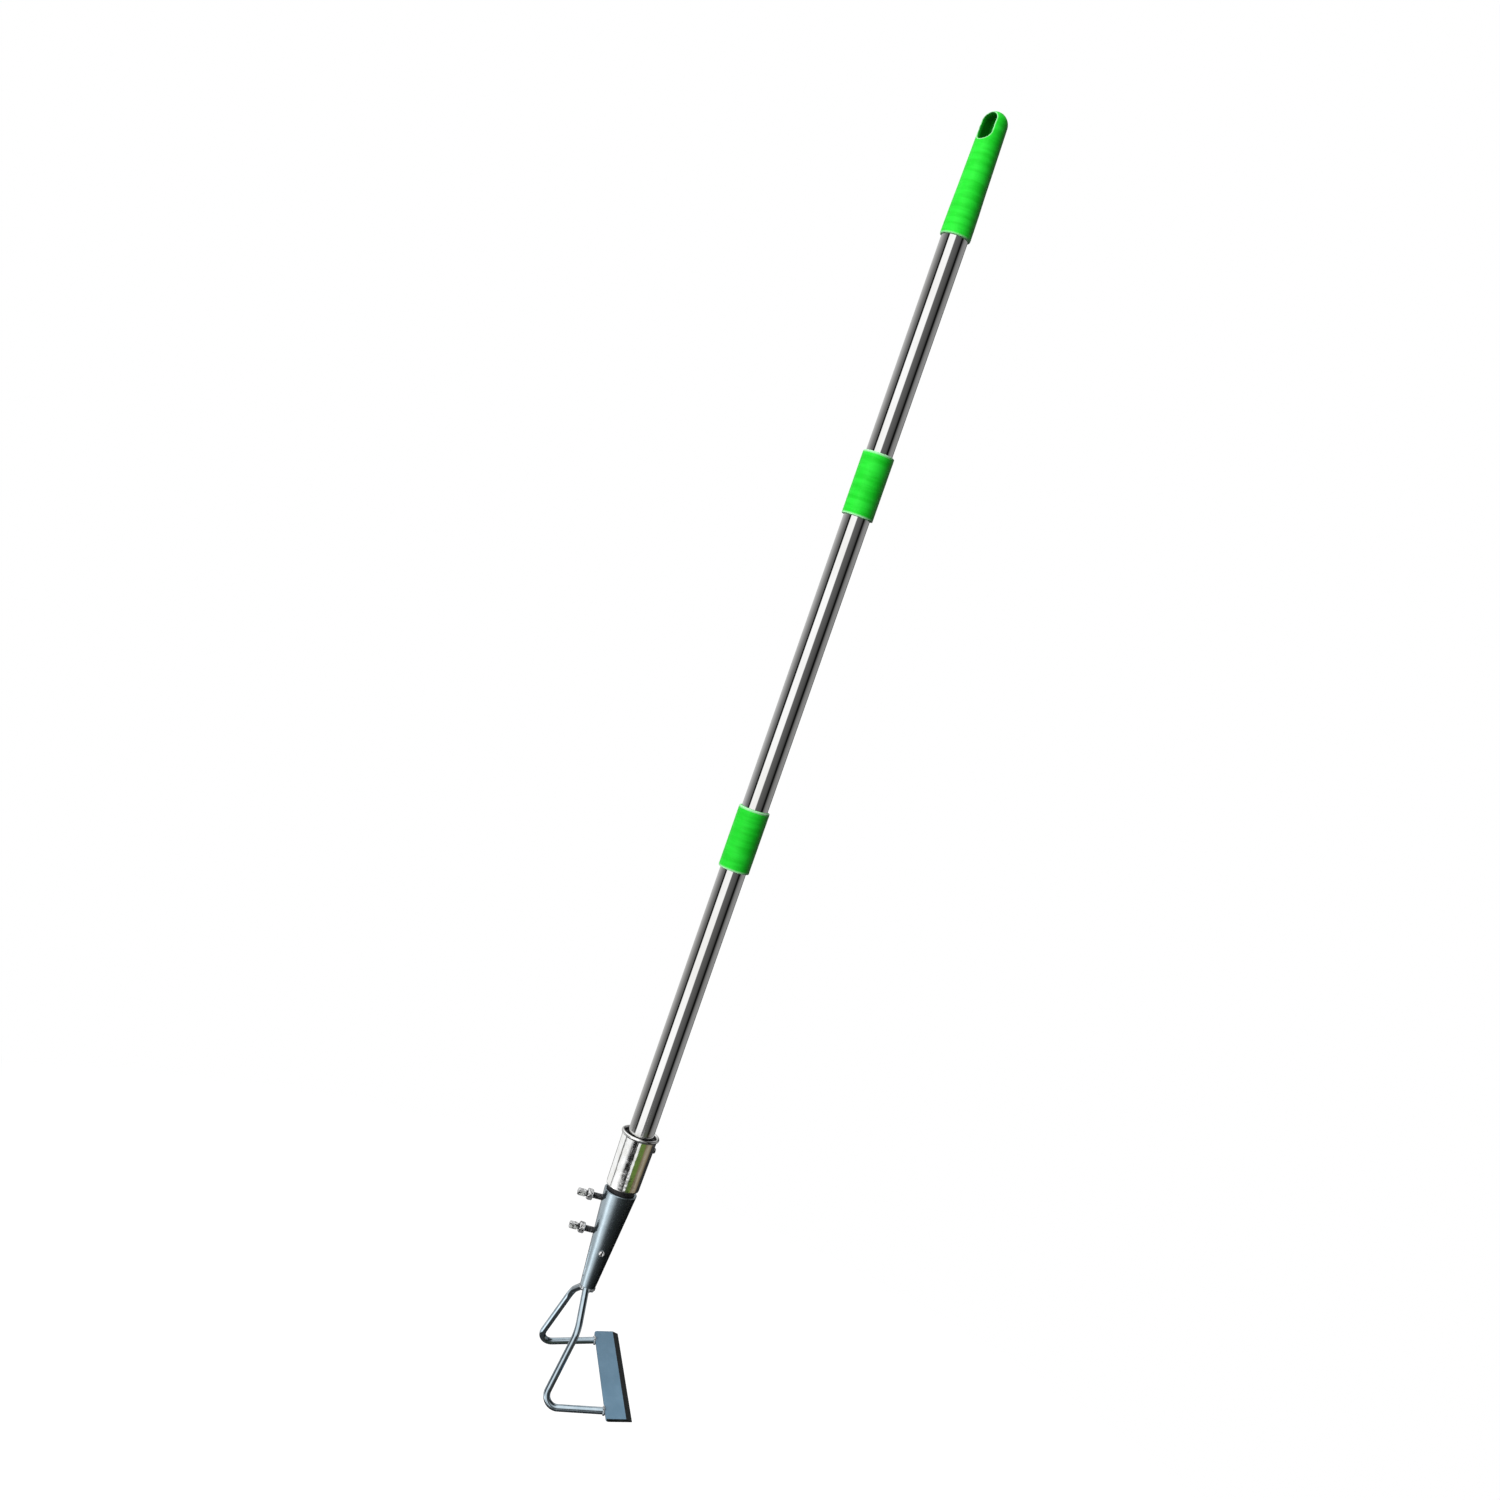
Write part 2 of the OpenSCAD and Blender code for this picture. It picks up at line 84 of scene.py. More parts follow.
HEAD_OFF, HEAD_H, HEAD_AF = 1.5, 8.0, 5.5

# Counted from the centre of a collar.
COLLAR_HALF, COLLAR_LIP = 30.0, 7.0
SLEEVE_R, SLEEVE_LOW, SLEEVE_TOP, SLEEVE_CAP_T = 13.5, -28.5, 2.1, 2.5
CORE_BORE_R, POLE_PITCH = 7.5, 3.0

# Counted from the socket's tip: the corners and bends of the rod on the +Y side, how far it
# starts above its root and ends inside the blade, and the blade.
ROD_D, ROOT_IN, TOE_IN = 6.5, 3.2, 0.3
SOLE_TILT = math.radians(12.5)
ROOT = Vector((-1.5, 4.2, -1.0))
SHOULDER, SHOULDER_R = Vector((-3.5, 40.0, -26.0)), 24.0
HEEL, HEEL_R = Vector((-18.0, 57.0, -95.0)), 11.0
TOE = Vector((40.0, 62.0, -95.0 + 58.0 * math.tan(SOLE_TILT)))
BLADE_LEN, BLADE_W, BLADE_T = 155.0, 24.0, 3.0
BEVEL_W, EDGE_T, BLADE_CORNER = 5.5, 0.6, 3.0


def socket_r(z):
    return TIP_R + SOCKET_TAPER * (z - TIP)


def direction(azimuth, elevation):
    """The unit vector at an azimuth from +X and an elevation, both in degrees."""
    a, e = math.radians(azimuth), math.radians(elevation)
    return Vector((math.cos(a) * math.cos(e), math.sin(a) * math.cos(e), math.sin(e)))


# ---------------------------------------------------------------- materials


class Nodes:
    """A material's or world's node tree, with short ways to add and join nodes."""

    def __init__(self, tree):
        self.tree = tree
        self.tree.nodes.clear()

    def add(self, kind, **settings):
        made = self.tree.nodes.new(kind)
        for key, value in settings.items():
            setattr(made, key, value)
        return made

    def join(self, a, b):
        self.tree.links.new(a, b)

    def feed(self, socket, value):
        """Joins a socket, or sets a number or an RGB colour."""
        if isinstance(value, bpy.types.NodeSocket):
            self.join(value, socket)
        elif isinstance(value, tuple):
            socket.default_value = (*value, 1.0)
        else:
            socket.default_value = value

    def math(self, operation, a, b=0.0):
        made = self.add("ShaderNodeMath", operation=operation)
        self.feed(made.inputs[0], a)
        self.feed(made.inputs[1], b)
        return made.outputs[0]

    def span(self, value, low, high, to_low=0.0, to_high=1.0):
        """Goes smoothly from to_low to to_high as value goes from low to high."""
        made = self.add("ShaderNodeMapRange", interpolation_type="SMOOTHSTEP")
        for slot, item in enumerate((value, low, high, to_low, to_high)):
            self.feed(made.inputs[slot], item)
        return made.outputs[0]

    def blend(self, factor, a, b, mode="MIX"):
        made = self.add("ShaderNodeMix", data_type="RGBA", blend_type=mode)
        self.feed(made.inputs[0], factor)
        self.feed(made.inputs[6], a)
        self.feed(made.inputs[7], b)
        return made.outputs[2]

    def place(self, scale=(1, 1, 1)):
        """Object coordinates in millimetres, stretched by scale."""
        where = self.add("ShaderNodeTexCoord").outputs["Object"]
        made = self.add("ShaderNodeMapping")
        self.join(where, made.inputs["Vector"])
        made.inputs["Scale"].default_value = [s / MM for s in scale]
        return made.outputs["Vector"]

    def noise(self, where, size, detail=3.0, roughness=0.5):
        """Noise whose largest lumps are about size millimetres."""
        made = self.add("ShaderNodeTexNoise")
        self.join(where, made.inputs["Vector"])
        made.inputs["Scale"].default_value = 1.0 / size
        made.inputs["Detail"].default_value = detail
        made.inputs["Roughness"].default_value = roughness
        return made.outputs[0]

    def bump(self, height, depth, normal=None):
        """Bumps of that depth in millimetres, on top of another bump's normal if given."""
        made = self.add("ShaderNodeBump")
        made.inputs["Strength"].default_value = 1.0
        made.inputs["Distance"].default_value = depth * MM
        self.join(height, made.inputs["Height"])
        if normal is not None:
            self.join(normal, made.inputs["Normal"])
        return made.outputs[0]


def shader(name, colour, roughness, metallic, normal, fixed=None, specular=None):
    """A material: functions of its nodes give its colour, roughness, normal and specular."""
    material = bpy.data.materials.new(name)
    material.use_nodes = True
    n = Nodes(material.node_tree)
    out = n.add("ShaderNodeOutputMaterial")
    bsdf = n.add("ShaderNodeBsdfPrincipled")
    n.join(bsdf.outputs[0], out.inputs[0])
    bsdf.inputs["Metallic"].default_value = metallic
    for key, value in (fixed or {}).items():
        bsdf.inputs[key].default_value = value
    n.feed(bsdf.inputs["Base Color"], colour(n))
    n.feed(bsdf.inputs["Roughness"], roughness(n))
    n.feed(bsdf.inputs["Normal"], normal(n))
    if specular is not None:
        n.feed(bsdf.inputs["Specular IOR Level"], specular(n))
    return material


def steel_colour(n):
    """Drawn tube: streaks along the pole over faint warm clouds."""
    streaks = n.noise(n.place((1, 1, 0.02)), 0.9, 4.0, 0.6)
    clouds = n.noise(n.place((0.6, 0.6, 0.15)), 14.0, 3.0)
    warm = n.blend(n.span(clouds, 0.35, 0.65), (0.74, 0.74, 0.735), (0.68, 0.675, 0.66))
    return n.blend(n.span(streaks, 0.55, 0.78, 0.0, 0.35), warm, (0.52, 0.51, 0.49))


def steel_roughness(n):
    """Streaks along the pole, and duller smudges."""
    streaks = n.noise(n.place((1, 1, 0.015)), 0.6, 3.0)
    smudges = n.noise(n.place((1, 1, 0.3)), 22.0, 4.0, 0.6)
    along, dull = n.span(streaks, 0.3, 0.7, 0.02, 0.045), n.span(smudges, 0.5, 0.75, 0.0, 0.04)
    return n.math("ADD", along, dull)


def steel_normal(n):
    grain = n.bump(n.noise(n.place((1, 1, 0.01)), 0.35, 3.0, 0.6), 0.004)
    return n.bump(n.noise(n.place((0.5, 0.5, 0.06)), 7.0, 2.0), 0.05, grain)


def green_colour(n):
    """Bright green, with a painted highlight on rims where the stored mask is above 0 and painted
    shade in hollows where it is below.
    """
    bands = n.noise(n.place((0.12, 0.12, 1.0)), 5.5, 3.0, 0.55)
    speckle = n.noise(n.place(), 1.3, 4.0, 0.6)
    base = n.blend(n.span(bands, 0.32, 0.68), (0.010, 0.70, 0.020), (0.023, 0.86, 0.040))
    base = n.blend(n.span(speckle, 0.56, 0.76, 0.0, 0.35), base, (0.05, 0.92, 0.07))
    painted_light_and_shade = n.add("ShaderNodeAttribute", attribute_name="painted_light_and_shade").outputs["Fac"]
    # Painted highlight: the pale mint line on the rims, broken up by speckle.
    painted_highlight = n.math("MULTIPLY", n.math("MAXIMUM", painted_light_and_shade, 0.0), n.span(speckle, 0.3, 0.6, 0.75, 1.0))
    # Painted shade: dark green in the bore and inside the eye.
    painted_shade = n.math("MAXIMUM", n.math("MULTIPLY", painted_light_and_shade, -1.0), 0.0)
    base = n.blend(painted_highlight, base, (0.50, 0.97, 0.55))
    return n.blend(painted_shade, base, (0.002, 0.20, 0.006))


def green_roughness(n):
    return n.span(n.noise(n.place(), 2.4, 4.0, 0.6), 0.3, 0.7, 0.42, 0.56)


def green_specular(n):
    """Duller where the painted shade is, in the bore and the eye."""
    painted_light_and_shade = n.add("ShaderNodeAttribute", attribute_name="painted_light_and_shade").outputs["Fac"]
    return n.span(painted_light_and_shade, -0.7, 0.0, 0.02, 0.35)


def green_normal(n):
    fine = n.bump(n.noise(n.place(), 0.55, 3.0, 0.6), 0.030)
    return n.bump(n.noise(n.place((0.35, 0.35, 1.0)), 3.2, 2.0), 0.16, fine)


def plate_colour(n):
    """Bright sheet with faint clouds."""
    clouds = n.noise(n.place(), 9.0, 3.0)
    return n.blend(n.span(clouds, 0.35, 0.65), (0.83, 0.84, 0.84), (0.76, 0.76, 0.74))


def plate_roughness(n):
    return n.span(n.noise(n.place((1, 1, 0.2)), 3.0, 4.0, 0.6), 0.35, 0.75, 0.05, 0.16)


def plate_normal(n):
    """The sheet's shallow dents, drawn out along the pole."""
    fine = n.bump(n.noise(n.place((1, 1, 0.6)), 1.6, 3.0, 0.55), 0.010)
    return n.bump(n.noise(n.place((0.9, 0.9, 0.45)), 4.2, 3.0), 0.13, fine)


def zinc_colour(n):
    """Pale zinc grains with near-black marks, which are both stains and painted shade."""
    grains = n.add("ShaderNodeTexVoronoi")
    n.join(n.place(), grains.inputs["Vector"])
    grains.inputs["Scale"].default_value = 1.1
    shade = n.add("ShaderNodeSeparateColor")
    n.join(grains.outputs["Color"], shade.inputs[0])
    stain_and_painted_shade = n.noise(n.place(), 2.1, 3.0, 0.55)
    base = n.blend(shade.outputs[0], (0.95, 0.96, 0.96), (0.85, 0.86, 0.87))
    return n.blend(n.span(stain_and_painted_shade, 0.54, 0.59, 0.0, 0.97), base, (0.012, 0.012, 0.012))


def zinc_roughness(n):
    return n.span(n.noise(n.place(), 0.8, 3.0), 0.3, 0.7, 0.10, 0.22)


def zinc_normal(n):
    dents = n.bump(n.noise(n.place(), 1.5, 2.0), 0.16)
    return n.bump(n.noise(n.place(), 0.6, 3.0, 0.6), 0.010, dents)


def thread_colour(n):
    """Dark steel with darker patches: the shank is drawn dark as painted shade."""
    patches = n.noise(n.place(), 2.0, 4.0, 0.6)
    return n.blend(n.span(patches, 0.35, 0.62), (0.13, 0.135, 0.14), (0.02, 0.02, 0.022))


def paint_colour(n):
    """Cloudy blue-grey enamel with paler specks."""
    clouds = n.noise(n.place(), 16.0, 4.0, 0.55)
    specks = n.noise(n.place(), 0.7, 2.0)
    base = n.blend(n.span(clouds, 0.3, 0.7), (0.295, 0.370, 0.415), (0.350, 0.425, 0.470))
    return n.blend(n.span(specks, 0.64, 0.78, 0.0, 0.3), base, (0.42, 0.48, 0.52))


def paint_roughness(n):
    return n.span(n.noise(n.place(), 3.0, 4.0, 0.6), 0.3, 0.7, 0.12, 0.20)


def paint_normal(n):
    peel = n.bump(n.noise(n.place(), 1.1, 2.0), 0.012)
    return n.bump(n.noise(n.place(), 8.0, 2.0), 0.06, peel)


def rod_colour(n):
    clouds = n.noise(n.place(), 9.0, 4.0, 0.55)
    return n.blend(n.span(clouds, 0.3, 0.7), (0.36, 0.45, 0.51), (0.45, 0.54, 0.60))


def rod_roughness(n):
    return n.span(n.noise(n.place(), 3.0, 4.0, 0.6), 0.3, 0.7, 0.04, 0.08)


def slate_colour(n):
    """The blade's enamel, with scuffs along it."""
    clouds = n.noise(n.place((1, 0.5, 1)), 13.0, 4.0, 0.55)
    scuffs = n.noise(n.place((1.0, 0.15, 1.0)), 1.6, 4.0, 0.65)
    base = n.blend(n.span(clouds, 0.3, 0.7), (0.141, 0.273, 0.392), (0.172, 0.315, 0.443))
    return n.blend(n.span(scuffs, 0.60, 0.80, 0.0, 0.35), base, (0.24, 0.36, 0.46))


def slate_roughness(n):
    return n.span(n.noise(n.place(), 2.5, 4.0, 0.6), 0.3, 0.7, 0.34, 0.48)


def weld_colour(n):
    """Painted glints: bright spots in a dark bead."""
    painted_glints = n.noise(n.place(), 1.4, 4.0, 0.6)
    return n.blend(n.span(painted_glints, 0.40, 0.62), (0.10, 0.12, 0.14), (0.80, 0.85, 0.88))


def weld_normal(n):
    fine = n.bump(n.noise(n.place(), 0.5, 3.0), 0.06)
    return n.bump(n.noise(n.place(), 1.6, 2.0), 0.35, fine)


def bevel_colour(n):
    """Nearly black as painted shade, with grinding lines across the edge."""
    lines = n.noise(n.place((0.05, 1.0, 0.3)), 0.5, 3.0, 0.6)
    return n.blend(n.span(lines, 0.35, 0.7), (0.008, 0.010, 0.010), (0.040, 0.046, 0.046))


def bevel_roughness(n):
    return n.span(n.noise(n.place((0.05, 1.0, 0.3)), 0.6, 3.0), 0.3, 0.7, 0.28, 0.46)


def bevel_normal(n):
    return n.bump(n.noise(n.place((0.04, 1.0, 0.3)), 0.4, 3.0), 0.03)


def black_colour(n):
    """Black plastic with a little dust."""
    dust = n.noise(n.place(), 3.0, 5.0, 0.65)
    return n.blend(n.span(dust, 0.5, 0.8, 0.0, 1.0), (0.012, 0.012, 0.013), (0.045, 0.045, 0.045))


def black_roughness(n):
    return n.span(n.noise(n.place(), 2.0, 4.0, 0.6), 0.3, 0.7, 0.42, 0.60)


def black_normal(n):
    return n.bump(n.noise(n.place(), 0.5, 3.0), 0.03)


ENAMEL = {"Coat Weight": 0.5, "Coat Roughness": 0.08, "Coat IOR": 1.5}
DULL, DULLEST = {"Specular IOR Level": 0.3}, {"Specular IOR Level": 0.12}
STEEL = shader("tube_steel", steel_colour, steel_roughness, 1.0, steel_normal)
GREEN = shader(
    "green_moulded", green_colour, green_roughness, 0.0, green_normal, specular=green_specular
)
PLATE = shader("bright_sheet", plate_colour, plate_roughness, 1.0, plate_normal)
ZINC = shader("zinc_fastener", zinc_colour, zinc_roughness, 0.6, zinc_normal)
SCREW = shader("pale_zinc_screw", zinc_colour, zinc_roughness, 0.2, zinc_normal)
# The shank's copy of the zinc, darker as painted shade.
THREAD = shader("thread_in_painted_shade", thread_colour, zinc_roughness, 0.6, zinc_normal)
PAINT = shader("blue_grey_enamel", paint_colour, paint_roughness, 0.92, paint_normal, ENAMEL)
ROD = shader("rod_enamel", rod_colour, rod_roughness, 1.0, paint_normal)
SLATE = shader("slate_enamel", slate_colour, slate_roughness, 0.1, paint_normal, DULL)
WELD = shader("enamelled_weld", weld_colour, paint_roughness, 0.45, weld_normal, ENAMEL)
BEVEL = shader("ground_edge_in_painted_shade", bevel_colour, bevel_roughness, 0.3, bevel_normal, DULLEST)
BLACK = shader("black_moulded", black_colour, black_roughness, 0.0, black_normal)

# ---------------------------------------------------------------- mesh helpers


def arc(cx, cy, r, a0, a1, n):
    """Points of an arc in a plane, from angle a0 to a1 in degrees, in n steps."""
    steps = [math.radians(a0 + (a1 - a0) * i / n) for i in range(n + 1)]
    return [(cx + r * math.cos(a), cy + r * math.sin(a)) for a in steps]


def circle(r, z, count):
    """A ring of points about Z."""
    turns = [2 * math.pi * i / count for i in range(count)]
    return [(r * math.cos(a), r * math.sin(a), z) for a in turns]


def swing(a, b, t):
    """The vector that is t of the way from a round to b, both as long as each other."""
    turn = a.angle(b)
    if turn < 1e-4:
        return a.lerp(b, t)
    return (a * math.sin((1 - t) * turn) + b * math.sin(t * turn)) / math.sin(turn)


def rounding(corner, a, b, radius, n):
    """Points of the arc that rounds a corner, whose sides leave it along a and b."""
    half = a.angle(b) / 2
    back = radius / math.tan(half)
    centre = corner + (a + b).normalized() * (radius / math.sin(half))
    start, end = corner + a * back - centre, corner + b * back - centre
    return [centre + swing(start, end, k / n) for k in range(n + 1)]


def fillet(points, radii, n):
    """A closed outline with its corners rounded, each by its own radius if it has the room."""
    out = []
    for i, (point, radius) in enumerate(zip(points, radii)):
        if radius <= 0:
            out.append(point)
            continue
        here = Vector(point)
        a, b = Vector(points[i - 1]) - here, Vector(points[(i + 1) % len(points)]) - here
        room = 0.49 * min(a.length, b.length) * math.tan(a.angle(b) / 2)
        arc_points = rounding(here, a.normalized(), b.normalized(), min(radius, room), n)
        out += [tuple(p) for p in arc_points]
    return out


def lathe(outline, segments):
    """Vertices and faces of a closed outline of (radius, height) turned about Z."""
    verts, faces = [], []
    count = len(outline)
    for s in range(segments):
        a = 2 * math.pi * s / segments
        verts += [(r * math.cos(a), r * math.sin(a), z) for r, z in outline]
    for s in range(segments):
        here, there = s * count, (s + 1) % segments * count
        for i in range(count):
            j = (i + 1) % count
            if outline[i][0] < 1e-6 and outline[j][0] < 1e-6:
                continue
            faces.append((here + i, there + i, there + j, here + j))
    return verts, faces


def grid(rows, capped=True):
    """Vertices and quads of a stack of rings, with or without a face over each end."""
    count = len(rows[0])
    verts = [p for row in rows for p in row]
    faces = []
    for k in range(len(rows) - 1):
        for i in range(count):
            j = (i + 1) % count
            faces.append((k * count + i, k * count + j, (k + 1) * count + j, (k + 1) * count + i))
    if capped:
        faces.append(tuple(reversed(range(count))))
        faces.append(tuple((len(rows) - 1) * count + i for i in range(count)))
    return verts, faces


def loop(rows):
    """Vertices and quads of a stack of rings whose last is joined to its first."""
    verts, faces = grid(rows, capped=False)
    count, last = len(rows[0]), len(verts) - len(rows[0])
    faces += [(last + i, last + (i + 1) % count, (i + 1) % count, i) for i in range(count)]
    return verts, faces


def build(name, shape, material, place=None, sharp=32.0):
    """A mesh object from vertices in mm, cleaned, with outward faces and smooth shading.

    Edges of more than sharp degrees stay sharp.
    """
    verts, faces = shape
    mesh = bpy.data.meshes.new(name)
    mesh.from_pydata([[c * MM for c in v] for v in verts], [], faces)
    work = bmesh.new()
    work.from_mesh(mesh)
    bmesh.ops.remove_doubles(work, verts=work.verts, dist=2e-6)
    bmesh.ops.dissolve_degenerate(work, edges=work.edges, dist=1e-7)
    bmesh.ops.recalc_face_normals(work, faces=work.faces)
    work.to_mesh(mesh)
    work.free()
    if place is not None:
        mesh.transform(place)
    made = bpy.data.objects.new(name, mesh)
    bpy.context.scene.collection.objects.link(made)
    mesh.materials.append(material)
    smooth(made, sharp)
    return made


def smooth(made, sharp=32.0):
    """Smooth shading that keeps sharp edges, and keeps large faces flat beside small ones."""
    for face in made.data.polygons:
        face.use_smooth = True
    made.data.set_sharp_from_angle(angle=math.radians(sharp))
    apply(made, "WEIGHTED_NORMAL", keep_sharp=True)


def apply(made, kind, **settings):
    """Adds a modifier and applies it."""
    modifier = made.modifiers.new(kind.lower(), kind)
    for key, value in settings.items():
        setattr(modifier, key, value)
    graph = bpy.context.evaluated_depsgraph_get()
    mesh = bpy.data.meshes.new_from_object(made.evaluated_get(graph))
    old = made.data
    made.modifiers.clear()
    made.data = mesh
    bpy.data.meshes.remove(old)


def cut(made, cutter):
    """Cuts one object out of another, which takes the cutter's material on the cut."""
    apply(made, "BOOLEAN", operation="DIFFERENCE", solver="MANIFOLD", object=cutter)
    bpy.data.objects.remove(cutter)


def rub(made, painted_light_and_shade):
    """Stores each vertex's painted highlight (above 0) and painted shade (below 0), from -1 to 1,
    which the green plastic's colour reads.
    """
    layer = made.data.attributes.new("painted_light_and_shade", "FLOAT", "POINT")
    layer.data.foreach_set("value", [painted_light_and_shade(v.co / MM) for v in made.data.vertices])


def fit(made, body, slot, *nodes):
    """Puts a piece on the body it rides on and hides the nodes it replaces; slot is not used."""
    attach(made, body)
    if nodes:
        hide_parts(*nodes)


def outward(azimuth, radius, z):
    """The place on the pole's side whose Z points outwards at that azimuth, in degrees."""
    turn = Matrix.Rotation(math.radians(azimuth), 4, "Z")
    shift = Matrix.Translation((radius * MM, 0, z * MM))
    return turn @ shift @ Matrix.Rotation(math.pi / 2, 4, "Y")


# ---------------------------------------------------------------- grip


def make_grip():
    bore_r, bore_top = TUBE_R + GLUE_GAP, GRIP_LOW + GRIP_SOCKET_LEN
    outline = [(0, bore_top), (bore_r, bore_top), (bore_r, GRIP_LOW + 0.4), (12.9, GRIP_LOW)]
    outline += arc(GRIP_LOW_R - 1.0, GRIP_LOW + 1.0, 1.0, -90, 0, 6)
    outline += [(GRIP_LOW_R, -96), (14.2, -88), (13.95, -75), (GRIP_WAIST_R, -58), (12.8, -30)]
    outline += [(DOME_R, DOME_Z)] + arc(0, DOME_Z, DOME_R, 6, 90, 22)
    made = build("grip_body", lathe(outline, 128), GREEN)
    turn = Matrix.Rotation(math.radians(EYE_TURN), 4, "Z")
    stadium = arc(0, EYE_HALF, EYE_R, 0, 180, 24) + arc(0, -EYE_HALF, EYE_R, 180, 360, 24)
    reach = 20
    slot = [[(x, depth, z) for x, z in stadium] for depth in (-reach, reach)]
    cut(made, build("eye_cutter", grid(slot), GREEN, turn))
    apply(made, "REMESH", mode="VOXEL", voxel_size=0.5 * MM)
    apply(made, "SMOOTH", factor=0.5, iterations=12)
    smooth(made, 60)
    back_turn = turn.inverted()
    eye_part_z, rim_fade = -30, 2.2
    skin_slack, taper = 0.2, 0.024
    edge_at, edge_fade, edge_deep, shade_fade = 0.25, 0.9, 1.0, 2.5

    def painted_light_and_shade(point):
        """Painted highlight at the low rim and round the eye's edge, painted shade in the bore and
        the eye.
        """
        above = point.z - DOME_Z
        skin = math.hypot(point.x, point.y, max(above, 0.0))
        if point.z < eye_part_z:
            rim = 1.0 - (point.z - GRIP_LOW) / rim_fade
            return max(0.0, rim) if skin > bore_r + 0.1 else -0.5
        flat = back_turn @ point
        gap = math.hypot(flat.x, max(abs(flat.z) - EYE_HALF, 0.0)) - EYE_R
        deep = DOME_R + skin_slack - skin - taper * min(above, 0.0)
        # Painted shade, deeper further inside the eye.
        if gap < 0.6 and deep > edge_deep:
            return -min(1.0, (deep - edge_deep) / shade_fade)
        return max(0.0, 1.0 - abs(gap - edge_at) / edge_fade)

    rub(made, painted_light_and_shade)
    return made


fit(make_grip(), "top_section", "green_plastic", "grip")

# ---------------------------------------------------------------- pole


def tube(section):
    low, high = (corner.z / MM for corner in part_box(f"{section}_tube"))
    bore_r, edge_r = TUBE_R - TUBE_WALL, 0.25
    ring = [(TUBE_R, low), (TUBE_R, high), (bore_r, high), (bore_r, low)]
    made = build(f"{section}_tube_shell", lathe(fillet(ring, [edge_r] * 4, 3), 128), STEEL)
    fit(made, f"{section}_section", "steel_tube", f"{section}_tube")


for section in ("top", "middle", "bottom"):
    tube(section)


def collar(name, joint):
    low, high, lip = joint - COLLAR_HALF, joint + COLLAR_HALF, joint + COLLAR_LIP
    lip_r = TUBE_R + RUN_GAP
    ring = [
        (COLLAR_BORE_R, low), (COLLAR_R, low), (COLLAR_R, low + 2.4), (COLLAR_R, high - 2.6),
        (COLLAR_R, high), (lip_r, high), (lip_r, lip), (COLLAR_BORE_R, lip),
    ]
    radii = [0.4, 1.15, 0, 0, 1.6, 0.4, 0.2, 0.2]
    made = build(f"{name}_body", lathe(fillet(ring, radii, 6), 128), GREEN)

    def painted_light_and_shade(point):
        """Painted highlight round both ends' outer edges."""
        at_end = abs(point.z - joint) > COLLAR_HALF - 2.1
        return 1.0 if at_end and math.hypot(point.x, point.y) > COLLAR_BORE_R + 0.1 else 0.0

    rub(made, painted_light_and_shade)
    fit(made, name, "green_plastic", name)


collar("upper_collar", UPPER_JOINT)
collar("lower_collar", LOWER_JOINT)


def threaded(r, pitch, depth, z0, z1, columns, per_pitch, flat=0.25):
    """Rings of a threaded rod's surface, whose thread runs out at both ends.

    A ridge's crest and a groove's floor each take up the share flat of half a pitch.
    """
    run_out, end_depth = 0.6 * pitch, 0.6 * depth
    rows = []
    count = int((z1 - z0) / pitch * per_pitch)
    for k in range(count + 1):
        z = z0 + (z1 - z0) * k / count
        full = max(min((z - z0) / run_out, (z1 - z) / run_out, 1.0), 0.0)
        row = []
        for i in range(columns):
            phase = (z / pitch - i / columns) % 1.0
            ridge = (abs(phase - 0.5) * 2 - flat) / (1 - 2 * flat)
            ridge = min(max(ridge, 0.0), 1.0)
            deep = depth * (1 - ridge) * full + end_depth * (1 - full)
            a = 2 * math.pi * i / columns
            row.append(((r - deep) * math.cos(a), (r - deep) * math.sin(a), z))
        rows.append(row)
    return rows


def thread_sleeve(name, joint, body, node):
    """The pole's threaded sleeve, from its bore round its thread to the cap over the tube."""
    low, high, columns = joint + SLEEVE_LOW, joint + SLEEVE_TOP, 72
    tube_end, bore_r = high - SLEEVE_CAP_T, TUBE_R + GLUE_GAP
    neck_r, edge, thread_depth = SLEEVE_R - 0.35, 0.3, 0.62
    cap = (
        (neck_r, tube_end + edge), (neck_r, high - edge), (neck_r - edge, high),
        (CORE_BORE_R + edge, high), (CORE_BORE_R, high - edge), (CORE_BORE_R, tube_end),
    )
    rows = [circle(bore_r, z, columns) for z in (tube_end, low)]
    rows += threaded(SLEEVE_R, POLE_PITCH, thread_depth, low, tube_end, columns, 10)
    rows += [circle(r, z, columns) for r, z in cap]
    fit(build(name, loop(rows), BLACK, sharp=40), body, "black_plastic", node)


thread_sleeve("upper_sleeve_thread", UPPER_JOINT, "middle_section", "upper_thread_sleeve")
thread_sleeve("lower_sleeve_thread", LOWER_JOINT, "bottom_section", "lower_thread_sleeve")

for node in ("upper_core", "lower_core"):
    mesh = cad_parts[node].data
    mesh.materials.clear()
    mesh.materials.append(BLACK)

# ---------------------------------------------------------------- ferrule and plug

rim_low, edge_z = FERRULE_TOP - 3.6, FERRULE_LOW + 1.2
ferrule_ring = [
    (FERRULE_LOW_R - FERRULE_WALL, FERRULE_LOW), (FERRULE_LOW_R - 0.3, FERRULE_LOW),
    (FERRULE_LOW_R, edge_z), (FERRULE_TOP_R - 0.1, rim_low),
]
ferrule_ring += arc(FERRULE_TOP_R, FERRULE_TOP - RIM_R, RIM_R, -62, 200, 22)
ferrule_ring += [(FERRULE_TOP_R - FERRULE_WALL, rim_low), (FERRULE_LOW_R - FERRULE_WALL, edge_z)]
ferrule = build("ferrule_shell", lathe(ferrule_ring, 144), PLATE, sharp=40)
fit(ferrule, "bottom_section", "bright_plate", "ferrule")

